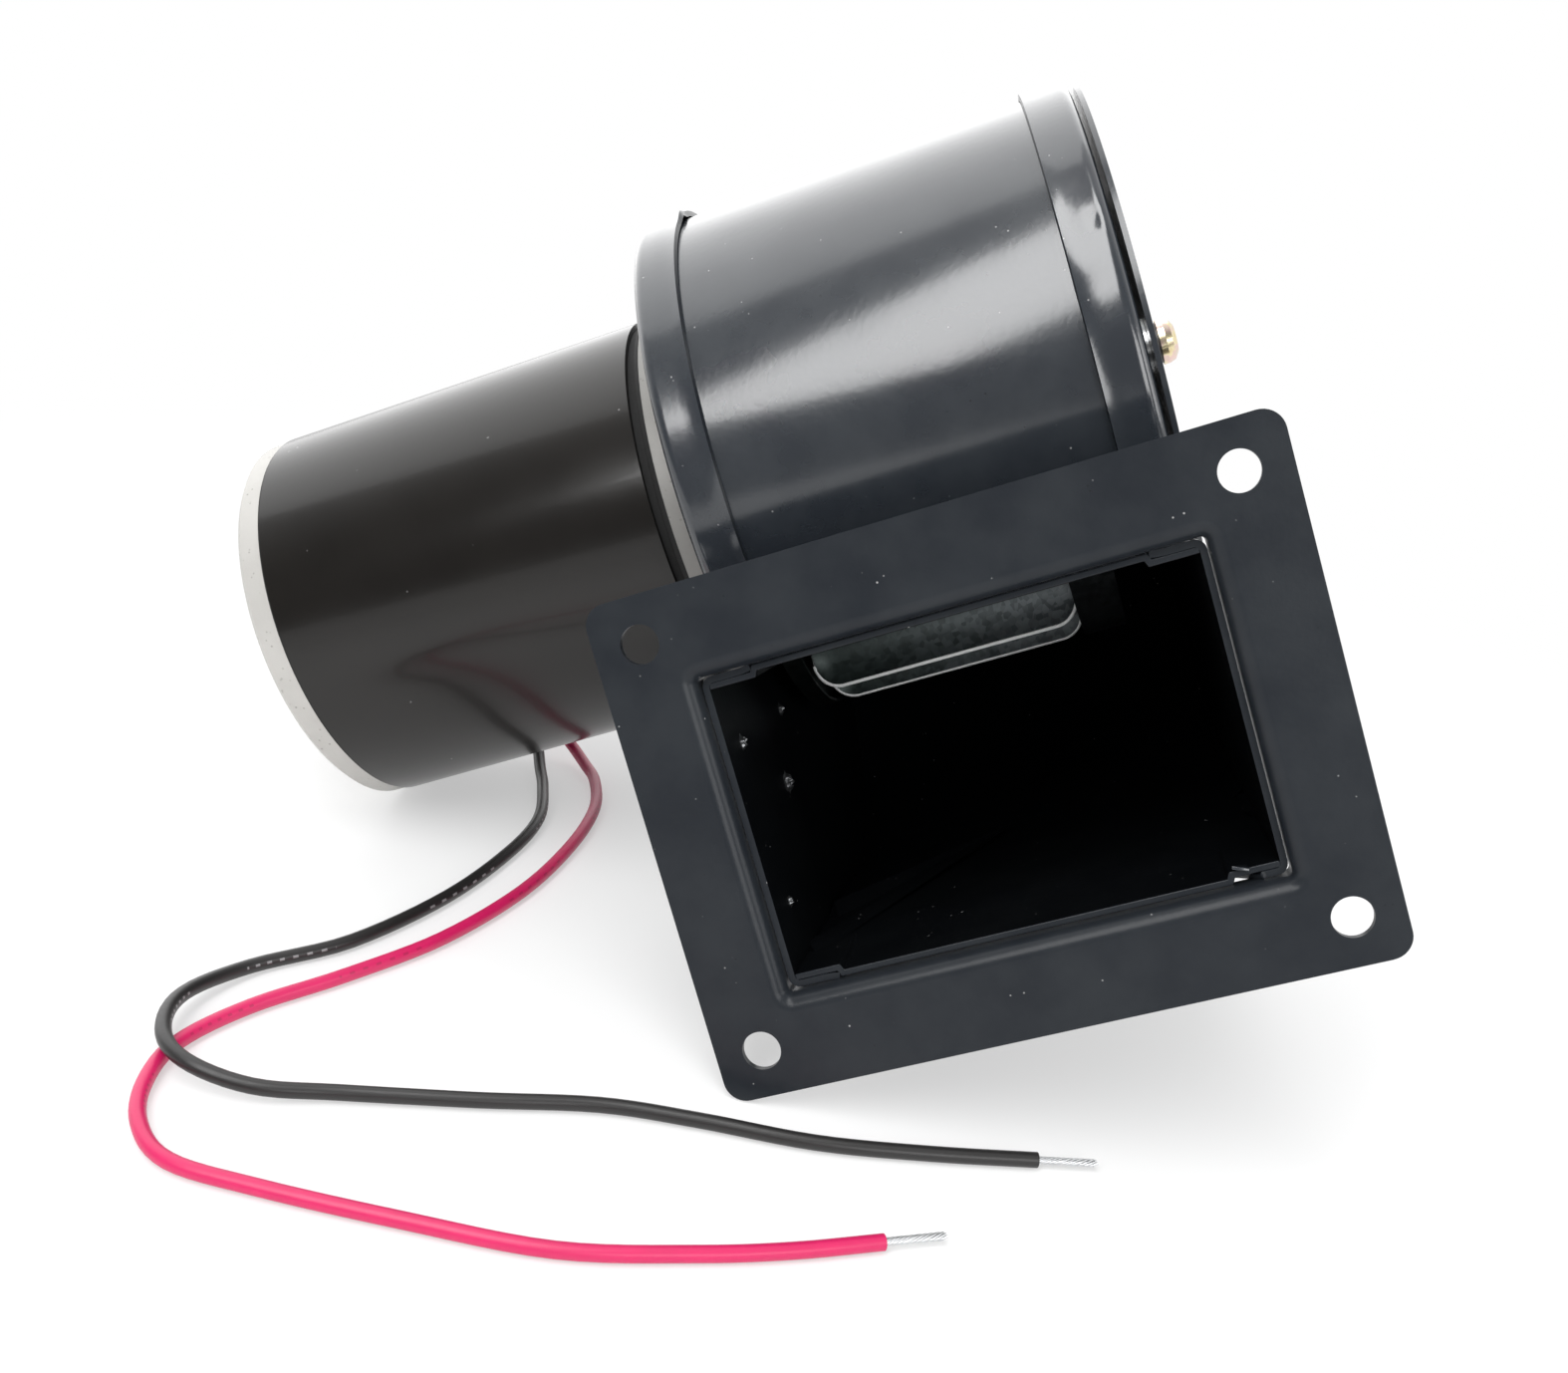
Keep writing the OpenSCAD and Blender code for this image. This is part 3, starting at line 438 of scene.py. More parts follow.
# ---------------------------------------------------------------- meshes
def piece(name, points, faces, finish, body, stands_for=(), sharp=32.0, in_blower=True,
          solid=0.0, edge=0.0, uv=None, cut_finish=None, inner_finish=None, wall_side=-1):
    """A finished mesh piece; solid is a wall's thickness, edge a rounded edge's width, in mm.

    cut_finish goes on the wall's cut rim and inner_finish on its inner side.
    """
    where = laid(points) if in_blower else np.asarray(points, float)
    mesh = bpy.data.meshes.new(name)
    mesh.from_pydata(where.tolist(), [], [list(map(int, face)) for face in faces])
    mesh.update()
    if uv is not None:
        layer = mesh.uv_layers.new(name="UVMap")
        corners = np.zeros(len(mesh.loops), int)
        mesh.loops.foreach_get("vertex_index", corners)
        layer.data.foreach_set("uv", np.asarray(uv, float)[corners].ravel())
    made = bpy.data.objects.new(name, mesh)
    bpy.context.scene.collection.objects.link(made)
    mesh.materials.append(finish)
    tidy(made, merge=uv is None)
    if solid:
        wall = made.modifiers.new("wall", "SOLIDIFY")
        wall.thickness = solid / 1000
        wall.offset = wall_side
        wall.use_even_offset = True
        for extra, faces_of in ((cut_finish, "material_offset_rim"),
                                (inner_finish, "material_offset")):
            if extra:
                mesh.materials.append(extra)
                setattr(wall, faces_of, len(mesh.materials) - 1)
    if edge:
        rim = made.modifiers.new("edge", "BEVEL")
        rim.width = edge / 1000
        rim.segments = 3
        rim.limit_method = "ANGLE"
        rim.angle_limit = math.radians(50)
        rim.harden_normals = False
    apply_all(made)
    mesh = made.data
    mesh.shade_smooth()
    mesh.set_sharp_from_angle(angle=math.radians(sharp))
    weigh = made.modifiers.new("flat_faces_lead", "WEIGHTED_NORMAL")
    weigh.keep_sharp = True
    apply_all(made)
    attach(made, body)
    if stands_for:
        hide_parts(*stands_for)
    return made


def tidy(made, merge=True):
    """Merges doubles and turns all faces outwards."""
    work = bmesh.new()
    work.from_mesh(made.data)
    if merge:
        bmesh.ops.remove_doubles(work, verts=work.verts, dist=0.000004)
        bmesh.ops.dissolve_degenerate(work, edges=work.edges, dist=0.000002)
    bmesh.ops.recalc_face_normals(work, faces=work.faces)
    work.to_mesh(made.data)
    work.free()


def apply_all(made):
    if not made.modifiers:
        return
    graph = bpy.context.evaluated_depsgraph_get()
    shaped = bpy.data.meshes.new_from_object(made.evaluated_get(graph))
    made.modifiers.clear()
    made.data = shaped


def grid(rows, columns, wrap_rows=False, wrap_columns=False):
    """Quads between the points of a grid that is stored row by row."""
    r = np.arange(rows if wrap_rows else rows - 1)
    c = np.arange(columns if wrap_columns else columns - 1)
    r, c = (a.ravel() for a in np.meshgrid(r, c, indexing="ij"))
    r2, c2 = (r + 1) % rows, (c + 1) % columns
    return np.stack([r * columns + c, r2 * columns + c, r2 * columns + c2, r * columns + c2], 1)


def joined(*parts):
    """Several (points, faces) as one."""
    points, faces, start = [], [], 0
    for part_points, part_faces in parts:
        points.append(np.asarray(part_points, float).reshape(-1, 3))
        faces += [[int(i) + start for i in face] for face in part_faces]
        start += len(points[-1])
    return np.vstack(points), faces


def revolved(profile, centre=(SHAFT_Y, SHAFT_Z), steps=160, closed=False):
    """Each (radius, along the shaft) of the profile carried round an axis parallel to the shaft."""
    profile = np.asarray(profile, float)
    turn = np.linspace(0, 2 * np.pi, steps, endpoint=False)
    r, x = profile[:, :1], profile[:, 1:]
    points = np.stack([np.broadcast_to(x, (len(profile), steps)),
                       centre[0] + r * np.cos(turn), centre[1] + r * np.sin(turn)], 2)
    return points.reshape(-1, 3), grid(len(profile), steps, closed, True)


def arc(centre, radius, start, end, steps=8):
    """Points on a circle's arc between two angles in degrees."""
    a = np.radians(np.linspace(start, end, steps))
    return np.stack([centre[0] + radius * np.cos(a), centre[1] + radius * np.sin(a)], 1)


def scroll_path(inset):
    """The scroll's outline at an inset: ceiling, front arc, back arc, bottom arc, floor."""
    r = SCROLL_R - inset
    drop = (HALF_DUCT - inset - ARC_Z) / r
    turn = 180 + math.degrees(math.asin(-drop))
    tongue = SHAFT_Y - r * math.sqrt(1 - drop * drop)
    ceiling = np.stack([np.linspace(DUCT_START, tongue, 8), np.full(8, HALF_DUCT - inset)], 1)
    floor_y = np.linspace(BOTTOM_Y, DUCT_START, 14)
    floor = np.stack([floor_y, np.full(14, -HALF_DUCT + inset)], 1)
    return np.vstack([
        ceiling,
        arc((SHAFT_Y, ARC_Z), r, turn, 90, 90),
        arc((SHAFT_Y, BACK_Z), BACK_R - inset, 90, 0, 60)[1:],
        arc((BOTTOM_Y, BACK_Z), BOTTOM_R - inset, 0, -90, 60)[1:],
        floor[1:],
    ])


def along_scroll(profile):
    """A profile of (along the shaft, inset) points carried along the scroll's outline."""
    rows = []
    for x, inset in profile:
        path = scroll_path(inset)
        rows.append(np.column_stack([np.full(len(path), x), path]))
    return np.vstack(rows), grid(len(rows), len(rows[0]))


def flat_face(x, loops):
    """A flat face across the shaft at x: the first loop is its outline, the others its holes."""
    loops3 = [[Vector((p[0], p[1], 0)) for p in loop] for loop in loops]
    points = np.vstack([np.column_stack([np.full(len(loop), x), loop]) for loop in loops])
    return points, [list(face) for face in tessellate_polygon(loops3)]


def circle(centre, radius, steps=48):
    return arc(centre, radius, 0, 360 - 360 / steps, steps)


# ---------------------------------------------------------------- camera and leads
CAMERA_PLACE = (0.02013, -0.32362, 0.17147)
CAMERA_LOOK = (-0.03351, 0.91167, -0.40956)
CAMERA_ROLL = math.radians(9.54)
LENS = 36.53
SHIFT_UP = 0.05205


def make_camera():
    data = bpy.data.cameras.new("camera")
    data.sensor_width = 36.0
    data.sensor_fit = "HORIZONTAL"
    data.lens = LENS
    data.shift_y = SHIFT_UP
    data.clip_start = 0.01
    data.clip_end = 20.0
    camera = bpy.data.objects.new("camera", data)
    bpy.context.scene.collection.objects.link(camera)
    level = Vector(CAMERA_LOOK).to_track_quat("-Z", "Y").to_matrix().to_4x4()
    camera.matrix_world = (
        Matrix.Translation(CAMERA_PLACE) @ level @ Matrix.Rotation(CAMERA_ROLL, 4, "Z")
    )
    bpy.context.scene.camera = camera
    return camera


# the leads' routes after their start, in millimetres, in the row's own axes
BLACK_ROUTE = [
    (-58, 38, 8.1), (-55, 35, 5), (-52, 27, 2.4), (-49, 18, 1.4), (-46, 2, 1.4), (-48, -16, 1.4),
    (-55, -40, 1.4), (-67, -63, 1.4), (-81, -78, 1.6), (-87, -93, 3.6), (-85, -105, 4.5),
    (-78, -112, 4.3), (-66, -113, 2.5), (-52, -109, 1.5), (-30, -104, 1.4), (-10, -99, 1.4),
    (7, -98, 1.4), (28, -98, 1.4), (48, -95, 1.4), (67, -91, 1.4),
]
RED_ROUTE = [
    (-52, 41, 8), (-47, 39, 4.2), (-42, 33, 2.4), (-38, 26, 1.8), (-35, 12, 1.4), (-36, -8, 1.4),
    (-41, -32, 1.4), (-51, -56, 1.4), (-64, -75, 1.4), (-76, -90, 1.4), (-83, -104, 1.4),
    (-83, -116, 1.4), (-79, -126, 1.4), (-71, -133, 1.4), (-56, -135, 1.4), (-33, -136, 1.4),
    (-9, -136, 1.4), (12, -131, 1.4), (27, -126, 1.4), (41, -120, 1.4),
]
LEAD_X, LEAD_PITCH, LEAD_START_R = -116.4, 4.2, 43.15
LEAD_ANGLE = math.radians(45)


def lead_curve(route, side, steps=6):
    """The smooth curve through a lead's start and its route, never under the bench, in metres."""
    out = np.array([0, math.sin(LEAD_ANGLE), -math.cos(LEAD_ANGLE)])
    exit_point = np.array([LEAD_X + side * LEAD_PITCH / 2, SHAFT_Y, SHAFT_Z]) + LEAD_START_R * out
    start = laid(exit_point)[0]
    through = np.vstack([start, np.array(route) / 1000])
    before = start - np.linalg.norm(through[1] - start) * (out @ LAID)
    p = np.vstack([before, through, 2 * through[-1] - through[-2]])
    a, b, c, d = (p[i:len(p) - 3 + i, None] for i in range(4))
    t = np.linspace(0, 1, steps, endpoint=False)[None, :, None]
    curve = (2 * b + (c - a) * t + (2 * a - 5 * b + 4 * c - d) * t**2
             + (3 * b - a - 3 * c + d) * t**3) / 2
    curve = np.vstack([curve.reshape(-1, 3), through[-1]])
    curve[:, 2] = np.maximum(curve[:, 2], LEAD_D / 2000)
    return curve


def lead(name, route, side, finish, stands_for, tail):
    """A round lead as a curve of one open spline, with the strands that stand out of its end."""
    line = lead_curve(route, side)
    data = bpy.data.curves.new(name, "CURVE")
    data.dimensions = "3D"
    data.bevel_depth = LEAD_D / 2000
    data.bevel_resolution = 7
    data.use_fill_caps = True
    spline = data.splines.new("POLY")
    spline.points.add(len(line) - 1)
    spline.points.foreach_set("co", np.column_stack([line, np.ones(len(line))]).ravel())
    spline.use_smooth = True
    data.materials.append(finish)
    made = bpy.data.objects.new(name, data)
    bpy.context.scene.collection.objects.link(made)
    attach(made, "blower")
    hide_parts(stands_for)
    strands = strand_bundle(name + "_strands", line[-1], line[-1] - line[-2], tail)
    return made


def strand_bundle(name, start, along, stands_for, strands=9, turns=1.6, steps=40):
    """Twisted strands: each is a round wire along a helix that opens slightly at its tip."""
    along = along / np.linalg.norm(along)
    side = np.cross(along, (0, 0, 1.0))
    side /= np.linalg.norm(side)
    up = np.cross(side, along)
    s = np.linspace(-0.06, 1, steps)
    parts = []
    for k in range(strands):
        ring = 0.0 if k == 0 else STRAND_D / 2 - STRAND_WIRE_R
        phase = 2 * np.pi * k / (strands - 1)
        a = phase + 2 * np.pi * turns * s
        spread = ring * (1 + 0.10 * np.clip(s, 0, 1) ** 3)
        reach = STRAND_LEN * (1 - 0.07 * ((k * 5) % 4) / 3)
        centre = np.stack([s * reach, spread * np.cos(a), spread * np.sin(a)], 1)
        parts.append(round_wire(centre, STRAND_WIRE_R))
    points, faces = joined(*parts)
    points = start + points / 1000 @ np.array([along, side, up])
    points[:, 2] = np.maximum(points[:, 2], 0.00002)
    return piece(name, points, faces, TINNED, "blower", (stands_for,),
                 sharp=60, in_blower=False)


def round_wire(centre, radius, sides=10):
    """A closed round tube along centre points, by two side vectors square to the tangent."""
    tangent = np.gradient(centre, axis=0)
    tangent /= np.linalg.norm(tangent, axis=1, keepdims=True)
    helper = np.array([0.0, 0.0, 1.0])
    u = np.cross(tangent, helper)
    u /= np.linalg.norm(u, axis=1, keepdims=True)
    v = np.cross(tangent, u)
    a = np.linspace(0, 2 * np.pi, sides, endpoint=False)
    points = (centre[:, None] + radius * (np.cos(a)[None, :, None] * u[:, None]
              + np.sin(a)[None, :, None] * v[:, None])).reshape(-1, 3)
    faces = grid(len(centre), sides, False, True).tolist()
    faces.append(list(range(sides))[::-1])
    faces.append([(len(centre) - 1) * sides + k for k in range(sides)])
    return points, faces


make_camera()
lead("red_lead_wire", RED_ROUTE, 1, RED_SKIN, "red_lead", "red_tinned_end")
lead("black_lead_wire", BLACK_ROUTE, -1, BLACK_SKIN, "black_lead",
     "black_tinned_end")


# ---------------------------------------------------------------- housing
def cover_shell(face_x, sign, holes, crimp=0.0, dents=(), cut_back=LIP, bend=2.0):
    """A dished cover: flat face, rounded bend and lip.

    A crimp lifts the lip's edge at one place, dents (angle, x, depth, radius) press it in, and at
    the duct's mouth the lip on the floor's side reaches only as far as cut_back.
    """
    corner = [(face_x - sign * (bend - x), z) for z, x in
              [(bend - bend * math.sin(a), bend * math.cos(a)) for a in
               np.radians(np.linspace(90, 0, 8))]]
    lip = [(face_x - sign * LIP * share, 0.0 - flare)
           for share, flare in ((1, 0.28), (0.9, 0.10), (0.75, 0), (0.6, 0), (0.5, 0), (0.42, 0),
                                (0.34, 0), (0.26, 0))]
    rows = []
    for k, (x, inset) in enumerate(lip + corner):
        path = scroll_path(inset)
        turn = np.degrees(np.arctan2(path[:, 1] - ARC_Z, path[:, 0] - SHAFT_Y))
        lift = crimp * max(0, 1 - k / 2.5) * np.exp(-((turn - CRIMP_AT) / CRIMP_SPREAD) ** 2)
        for angle, dent_x, depth, radius in dents:
            reach = np.hypot(np.radians(turn - angle) * SCROLL_R, x - dent_x)
            lift = lift - depth * np.exp(-(reach / radius) ** 2)
        away = np.stack([np.cos(np.radians(turn)), np.sin(np.radians(turn))], 1)
        mouth = (path[:, 0] < DUCT_START + 1) & (path[:, 1] < 0)
        short = face_x - sign * np.minimum(abs(face_x - x), np.where(mouth, cut_back, LIP))
        rows.append(np.column_stack([short, path + lift[:, None] * away]))
    skin = np.vstack(rows), grid(len(rows), len(rows[0]))
    return joined(skin, flat_face(face_x, [scroll_path(bend), *holes]))


def scroll_covers():
    """The two dished covers and the strip of sheet between them."""
    ring_r = COVER_SCREW_RING_R
    screws = [circle((SHAFT_Y + ring_r * math.cos(a), SHAFT_Z + ring_r * math.sin(a)),
                     SCREW_HOLE_R, 24)
              for a in np.radians([45, 135, 225, 315])]
    holes = [circle((SHAFT_Y, SHAFT_Z), PILOT_R, 96), *screws]
    # here and below the inner sides of the walls take the darkened duct paint: painted shade inside the housing
    points, faces = cover_shell(-HALF_W, -1, holes, crimp=CRIMP_LIFT)
    piece("motor_side_shell", points, faces, SHEET_PAINT, "blower", ("motor_side_cover",),
          solid=SHEET, edge=0.3, cut_finish=FLANGE_PAINT,
          inner_finish=SHADED_DUCT_PAINT)
    eye = circle((SHAFT_Y, SHAFT_Z), INLET_R + INLET_ROLL, 96)
    pivot = circle((PIVOT_Y, PIVOT_Z), SCREW_HOLE_R, 24)
    shell = cover_shell(HALF_W, 1, [eye, pivot], dents=LIP_DENTS, cut_back=CUT_BACK)
    roll_x = HALF_W - INLET_ROLL
    ring = [(INLET_R + INLET_ROLL * (1 - math.sin(a)), roll_x + INLET_ROLL * math.cos(a))
            for a in np.radians(np.linspace(0, 90, 9))]
    ring.append((INLET_R, roll_x - INLET_DEPTH))
    points, faces = joined(shell, revolved(ring, steps=96))
    piece("inlet_side_shell", points, faces, SHEET_PAINT, "blower", ("inlet_cover",),
          solid=SHEET, edge=0.3, cut_finish=FLANGE_PAINT,
          inner_finish=SHADED_DUCT_PAINT)
    half = HALF_W - SHEET
    step = HALF_W - LIP
    rows = (-half, -39.0, -step - 0.1, -step + 0.4, -20.0, -7.0, 7.0, 20.0, step - 0.4, step + 0.1,
            39.0, half)
    points, faces = along_scroll([(x, SHEET) for x in rows])
    points = joggled(points)
    piece("scroll_strip", points, faces, SHEET_PAINT, "blower", ("scroll_wrap",),
          solid=SHEET, edge=0.25, cut_finish=FLANGE_PAINT, inner_finish=SHADED_DUCT_PAINT)


def joggled(points):
    """The strip steps out between the covers' lips near the duct's mouth, flush with them."""
    x, y, z = points.T
    deep = np.clip((y - JOGGLE_START) / JOGGLE_RUN, 0, 1)
    share = (np.abs(x) < HALF_W - LIP) * (1 - deep * deep * (3 - 2 * deep))
    share = share * (y < JOGGLE_START + JOGGLE_RUN + 1)
    outwards = np.where(z < ABOVE_DUCT, np.sign(z), 0)
    return np.column_stack([x, y, z + outwards * JOGGLE_STEP * share])


def bent_corner():
    """A corner of the inlet cover's lip, bent up at the duct's mouth."""
    lip_end = HALF_W - LIP
    tab = np.array([(lip_end - 0.1, 3.0), (lip_end + 2.6, 3.2), (lip_end + 3.4, 8.0),
                    (lip_end - 0.1, 8.0)])
    points = np.column_stack([tab, -HALF_DUCT + 1.35 + np.array([1.6, 0.5, 0.0, 0.4])])
    piece("bent_lip_corner", points, [[0, 1, 2, 3]], SHEET_PAINT, "blower", (),
          solid=0.6, edge=0.15)


def weld_marks():
    """Spatter rings where spot welds came through the duct's wall: a rough ridge round a crater."""
    r = np.linspace(0, 1, 9)[:, None]
    a = np.linspace(0, 2 * np.pi, 28, endpoint=False)[None, :]
    wall_x = -HALF_W + SHEET
    parts = []
    for k, (y, z, size) in enumerate(((15.7, 15.1, 1.5), (55.2, 16.0, 1.4), (42.2, 2.6, 2.2),
                                      (16.3, -15.8, 1.1))):
        ragged = 1 + 0.28 * np.sin(3 * a + k) + 0.2 * np.sin(7 * a + 2 * k)
        height = 0.5 * size * np.exp(-((r - 0.55) / 0.22) ** 2) * ragged * (1 - r**4)
        spread = size * r * (1 + 0.15 * np.sin(5 * a + k))
        top = np.stack([wall_x + 0.01 + height, y + spread * np.cos(a), z + spread * np.sin(a)], 2)
        base = np.stack([np.full(28, wall_x - 0.2), y + spread[-1] * np.cos(a[0]),
                         z + spread[-1] * np.sin(a[0])], 1)
        points = np.vstack([top.reshape(-1, 3), base])
        faces = grid(10, 28, False, True).tolist() + [[9 * 28 + i for i in range(28)]]
        parts.append((points, faces))
    points, faces = joined(*parts)
    piece("weld_marks", points, faces, WELD_METAL, "blower", (), sharp=60)


def outlet_mouth():
    """The flange plate with its drawn collar: one skin, walled, with rounded edges."""
    w, h, r = FLANGE_W / 2, FLANGE_H / 2, FLANGE_CORNER_R
    outer = rounded_loop(w, h, r - 1, 10)
    sweep = [(COLLAR_R, 0.0)]
    sweep += [(COLLAR_R * (1 - math.sin(a)), COLLAR_R * (1 - math.cos(a)))
              for a in np.radians(np.linspace(0, 90, 9))[1:]]
    sweep.append((0.0, COLLAR_DEPTH))
    rings = [rounded_loop(MOUTH_W + off, MOUTH_H + off, 0.9 + off, 8) for off, _ in sweep]
    count = len(rings[0])
    skin = np.vstack([np.column_stack([ring[:, 0], np.full(count, y), ring[:, 1]])
                      for ring, (_, y) in zip(rings, sweep)])
    bolts = [circle((sx * BOLT_W / 2, sz * BOLT_H / 2), BOLT_R, 48)
             for sx in (-1, 1) for sz in (-1, 1)]
    loops = [outer, rings[0], *bolts]
    flat = np.vstack([np.column_stack([loop[:, 0], np.zeros(len(loop)), loop[:, 1]])
                      for loop in loops])
    faces = tessellate_polygon([[Vector((a, b, 0)) for a, b in loop] for loop in loops])
    points, faces = joined((skin, grid(len(rings), count, False, True)),
                           (flat, [list(face) for face in faces]))
    piece("outlet_flange_plate", points, faces, FLANGE_PAINT, "blower", ("outlet_flange",),
          solid=FLANGE_T, edge=0.5)


def rounded_loop(half_w, half_h, r, steps):
    """A rectangle about the middle with round corners, as points in the flange's plane."""
    corners = [((half_w - r, half_h - r), 0), ((r - half_w, half_h - r), 90),
               ((r - half_w, r - half_h), 180), ((half_w - r, r - half_h), 270)]
    return np.vstack([arc(c, r, a, a + 90, steps) for c, a in corners])


def damper():
    """The round damper plate with its rounded rim and pivot hole."""
    rim = circle((SHAFT_Y, ARC_Z), DAMPER_R, 180)
    hole = circle((PIVOT_Y, PIVOT_Z), SCREW_HOLE_R, 32)
    points, faces = flat_face(DAMPER_X + DAMPER_T, [rim, hole])
    piece("damper_disc", points, faces, DAMPER_PAINT, "damper", ("damper_plate",),
          solid=DAMPER_T, edge=0.28)


# ---------------------------------------------------------------- impeller
def blade(angle):
    """A blade: its section leans from -14 to 50 degrees off the radius, from rim to root.

    Near both ends the free edge draws back by a quarter circle and the sheet curls forward,
    as a scoop's does.
    """
    half = (BLADE_X1 - BLADE_X0) / 2
    x = np.linspace(-1, 1, BLADE_COLUMNS)
    x = half * np.sign(x) * (1 - (1 - np.abs(x)) ** 1.6)
    past = np.clip(np.abs(x) - (half - SCOOP_R), 0, SCOOP_R)
    cut = SCOOP_R - np.sqrt(SCOOP_R**2 - past**2)
    along = np.linspace(0, 1, BLADE_ROWS)[:, None]
    s = cut + (BLADE_RUN - cut) * along
    low, high = np.radians([-14.0, 50.0])
    rate = (high - low) / BLADE_RUN
    u = (math.cos(low) - np.cos(low + rate * s)) / rate
    v = (np.sin(low + rate * s) - math.sin(low)) / rate
    u = u + 1.5 * (past / SCOOP_R) ** 2
    v = IMPELLER_R - BLADE_RIM_GAP - v
    x = np.broadcast_to((BLADE_X0 + BLADE_X1) / 2 + x, u.shape)
    y = SHAFT_Y + u * math.cos(angle) - v * math.sin(angle)
    z = SHAFT_Z + u * math.sin(angle) + v * math.cos(angle)
    return np.stack([x, y, z], 2).reshape(-1, 3), grid(BLADE_ROWS, BLADE_COLUMNS)


def blade_edges():
    """The cut and rolled free edge of every blade, as a bead along it, near-white as a painted highlight."""
    beads = []
    for k in range(BLADES):
        points, _ = blade(2 * math.pi * k / BLADES + FIRST_BLADE)
        beads.append(round_wire(points[:BLADE_COLUMNS], BLADE_EDGE_R, 8))
    points, faces = joined(*beads)
    piece("blade_edges", points, faces, BLADE_EDGE_HIGHLIGHT, "rotor", (), sharp=60)


def impeller():
    """The drum: two bands and the ring of blades between them."""
    points, faces = joined(*[blade(2 * math.pi * k / BLADES + FIRST_BLADE) for k in range(BLADES)])
    # the blades' cut rims take the near-white edge finish: painted highlight
    piece("impeller_blades", points, faces, GALVANISED, "rotor", (),
          solid=IMPELLER_T, sharp=40, cut_finish=BLADE_EDGE_HIGHLIGHT, wall_side=0)
    inner = IMPELLER_R - IMPELLER_T
    bands = [revolved([(IMPELLER_R, x0), (IMPELLER_R, x1), (inner, x1), (inner, x0)], steps=180,
                      closed=True)
             for x0, x1 in ((IMPELLER_X, BLADE_X0 + BAND_LAP),
                            (BLADE_X1 - BAND_LAP, IMPELLER_X1))]
    # the bands take the darkened zinc as painted shade
    points, faces = joined(*bands)
    piece("impeller_bands", points, faces, SHADED_BAND_ZINC, "rotor", ("impeller_drum",),
          edge=0.15)


def motor_lines():
    """A matte black ring in the groove before the tube, and a painted shadow in the seam behind it at the rear
    cap.
    """
    groove = [(40.05, -52.45), (40.35, -52.45), (40.35, -50.8), (41.35, -50.6), (42.16, -49.8),
              (42.16, -49.45), (42.04, -49.45), (41.2, -50.4), (40.05, -50.7)]
    # painted shadow: a dark ring in the gap between the tube and the rear cap
    seam = [(41.05, TUBE_X0 - 0.35), (41.3, TUBE_X0 - 0.35), (41.3, TUBE_X0 - 0.02),
            (41.05, TUBE_X0 - 0.02)]
    points, faces = joined(revolved(groove, steps=180, closed=True),
                           revolved(seam, steps=180, closed=True))
    piece("motor_black_groove_and_seam_shadow", points, faces, BLACK_GROOVE_AND_SEAM_SHADOW, "blower", (), sharp=50)


scroll_covers()
bent_corner()
weld_marks()
outlet_mouth()
damper()
impeller()
blade_edges()
motor_lines()


# ---------------------------------------------------------------- floor, lamps and world
FLOOR_REACH, FLOOR_Z = 3.0, -0.0003
AMBIENT = 0.5


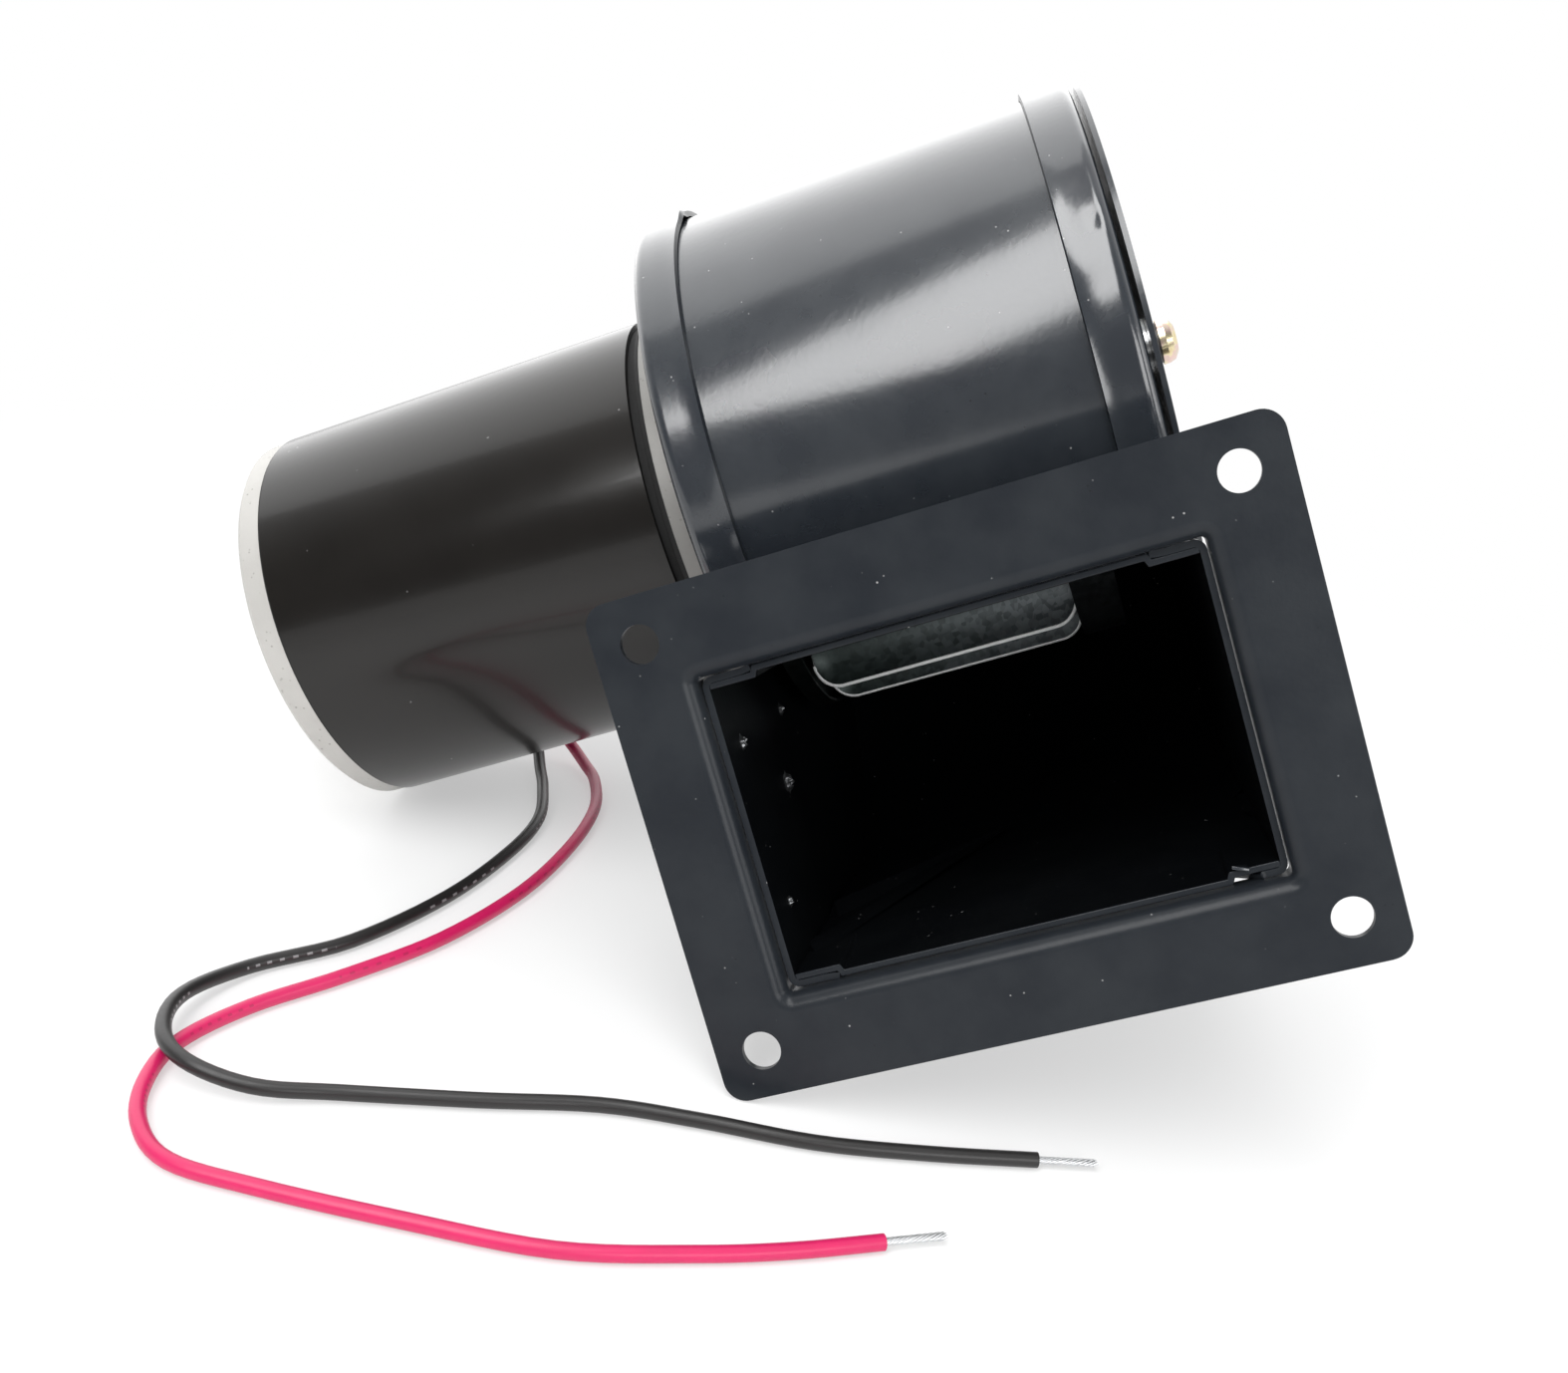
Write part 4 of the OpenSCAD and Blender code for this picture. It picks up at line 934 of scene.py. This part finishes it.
def pale_floor():
    """A pale floor under the blower that turns white away from it and keeps the shadow."""
    floor = bpy.data.meshes.new("floor")
    reach = FLOOR_REACH
    floor.from_pydata([(-reach, -reach, FLOOR_Z), (reach, -reach, FLOOR_Z),
                       (reach, reach, FLOOR_Z), (-reach, reach, FLOOR_Z)], [], [(0, 1, 2, 3)])
    made = bpy.data.objects.new("floor", floor)
    bpy.context.scene.collection.objects.link(made)
    m = Finish("pale_floor")
    diffuse = m.node("ShaderNodeBsdfDiffuse", {}, Color=(0.88, 0.88, 0.88, 1))
    white = m.node("ShaderNodeEmission", {}, Color=(1, 1, 1, 1), Strength=1.0)
    path = m.tree.nodes.new("ShaderNodeLightPath")
    seen = Value(m, path.outputs["Is Camera Ray"])
    mirrored = Value(m, path.outputs["Is Glossy Ray"])
    through = Value(m, path.outputs["Is Transmission Ray"])
    away = m.node("ShaderNodeVectorMath", {"operation": "LENGTH"}, m.place(), output=1)
    far = away.between(0.12, 0.42)
    share = ((seen + through + mirrored).clamped() * (far * 0.55 + 0.45)).clamped()
    shader = m.node("ShaderNodeMixShader", {}, share, diffuse, white)
    output = m.tree.nodes.new("ShaderNodeOutputMaterial")
    m.tree.links.new(shader.socket, output.inputs[0])
    floor.materials.append(m.material)


def white_world():
    """White to the camera, an even level for plain light, and darker at the front in mirrors."""
    w = Finish("studio", "worlds")
    paths = w.tree.nodes.new("ShaderNodeLightPath")
    seen = (Value(w, paths.outputs["Is Camera Ray"])
            + Value(w, paths.outputs["Is Transmission Ray"])).clamped()
    mirrored = Value(w, paths.outputs["Is Glossy Ray"])
    toward_back = w.parts(Value(w, w.coordinates.outputs["Generated"]))[1].between(-0.62, 0.30)
    strength = (seen + mirrored * (toward_back * 0.80 + 0.20)
                + (1 - (seen + mirrored).clamped()) * AMBIENT)
    sky = w.node("ShaderNodeBackground", {}, Color=(1, 1, 1, 1), Strength=strength)
    output = w.tree.nodes.new("ShaderNodeOutputWorld")
    w.tree.links.new(sky.socket, output.inputs[0])
    bpy.context.scene.world = w.material


def soft_lamps():
    """Four soft boxes, each aimed at the blower; places and sizes in metres, power in watts."""
    for name, place, target, size, power in (
        ("back_sky", (-0.60, 0.85, 0.86), (0, 0, 0.1), (2.6, 2.0), 18.0),
        ("overhead", (-0.27, -0.56, 0.90), (0, 0, 0.1), (0.40, 1.05), 9.0),
        ("front", (0.46, -0.86, 0.42), (0, 0, 0.06), (0.45, 0.45), 3.0),
        ("right", (0.9, -0.35, 0.5), (0.05, 0, 0.08), (0.45, 0.45), 2.0),
    ):
        data = bpy.data.lights.new(name, "AREA")
        data.shape = "RECTANGLE"
        data.size, data.size_y = size
        data.energy = power
        lamp = bpy.data.objects.new(name, data)
        bpy.context.scene.collection.objects.link(lamp)
        aim = (Vector(target) - Vector(place)).to_track_quat("-Z", "Y")
        lamp.matrix_world = Matrix.Translation(place) @ aim.to_matrix().to_4x4()
        lamp.visible_camera = False


pale_floor()
white_world()
soft_lamps()
bpy.context.scene.view_settings.view_transform = "Standard"
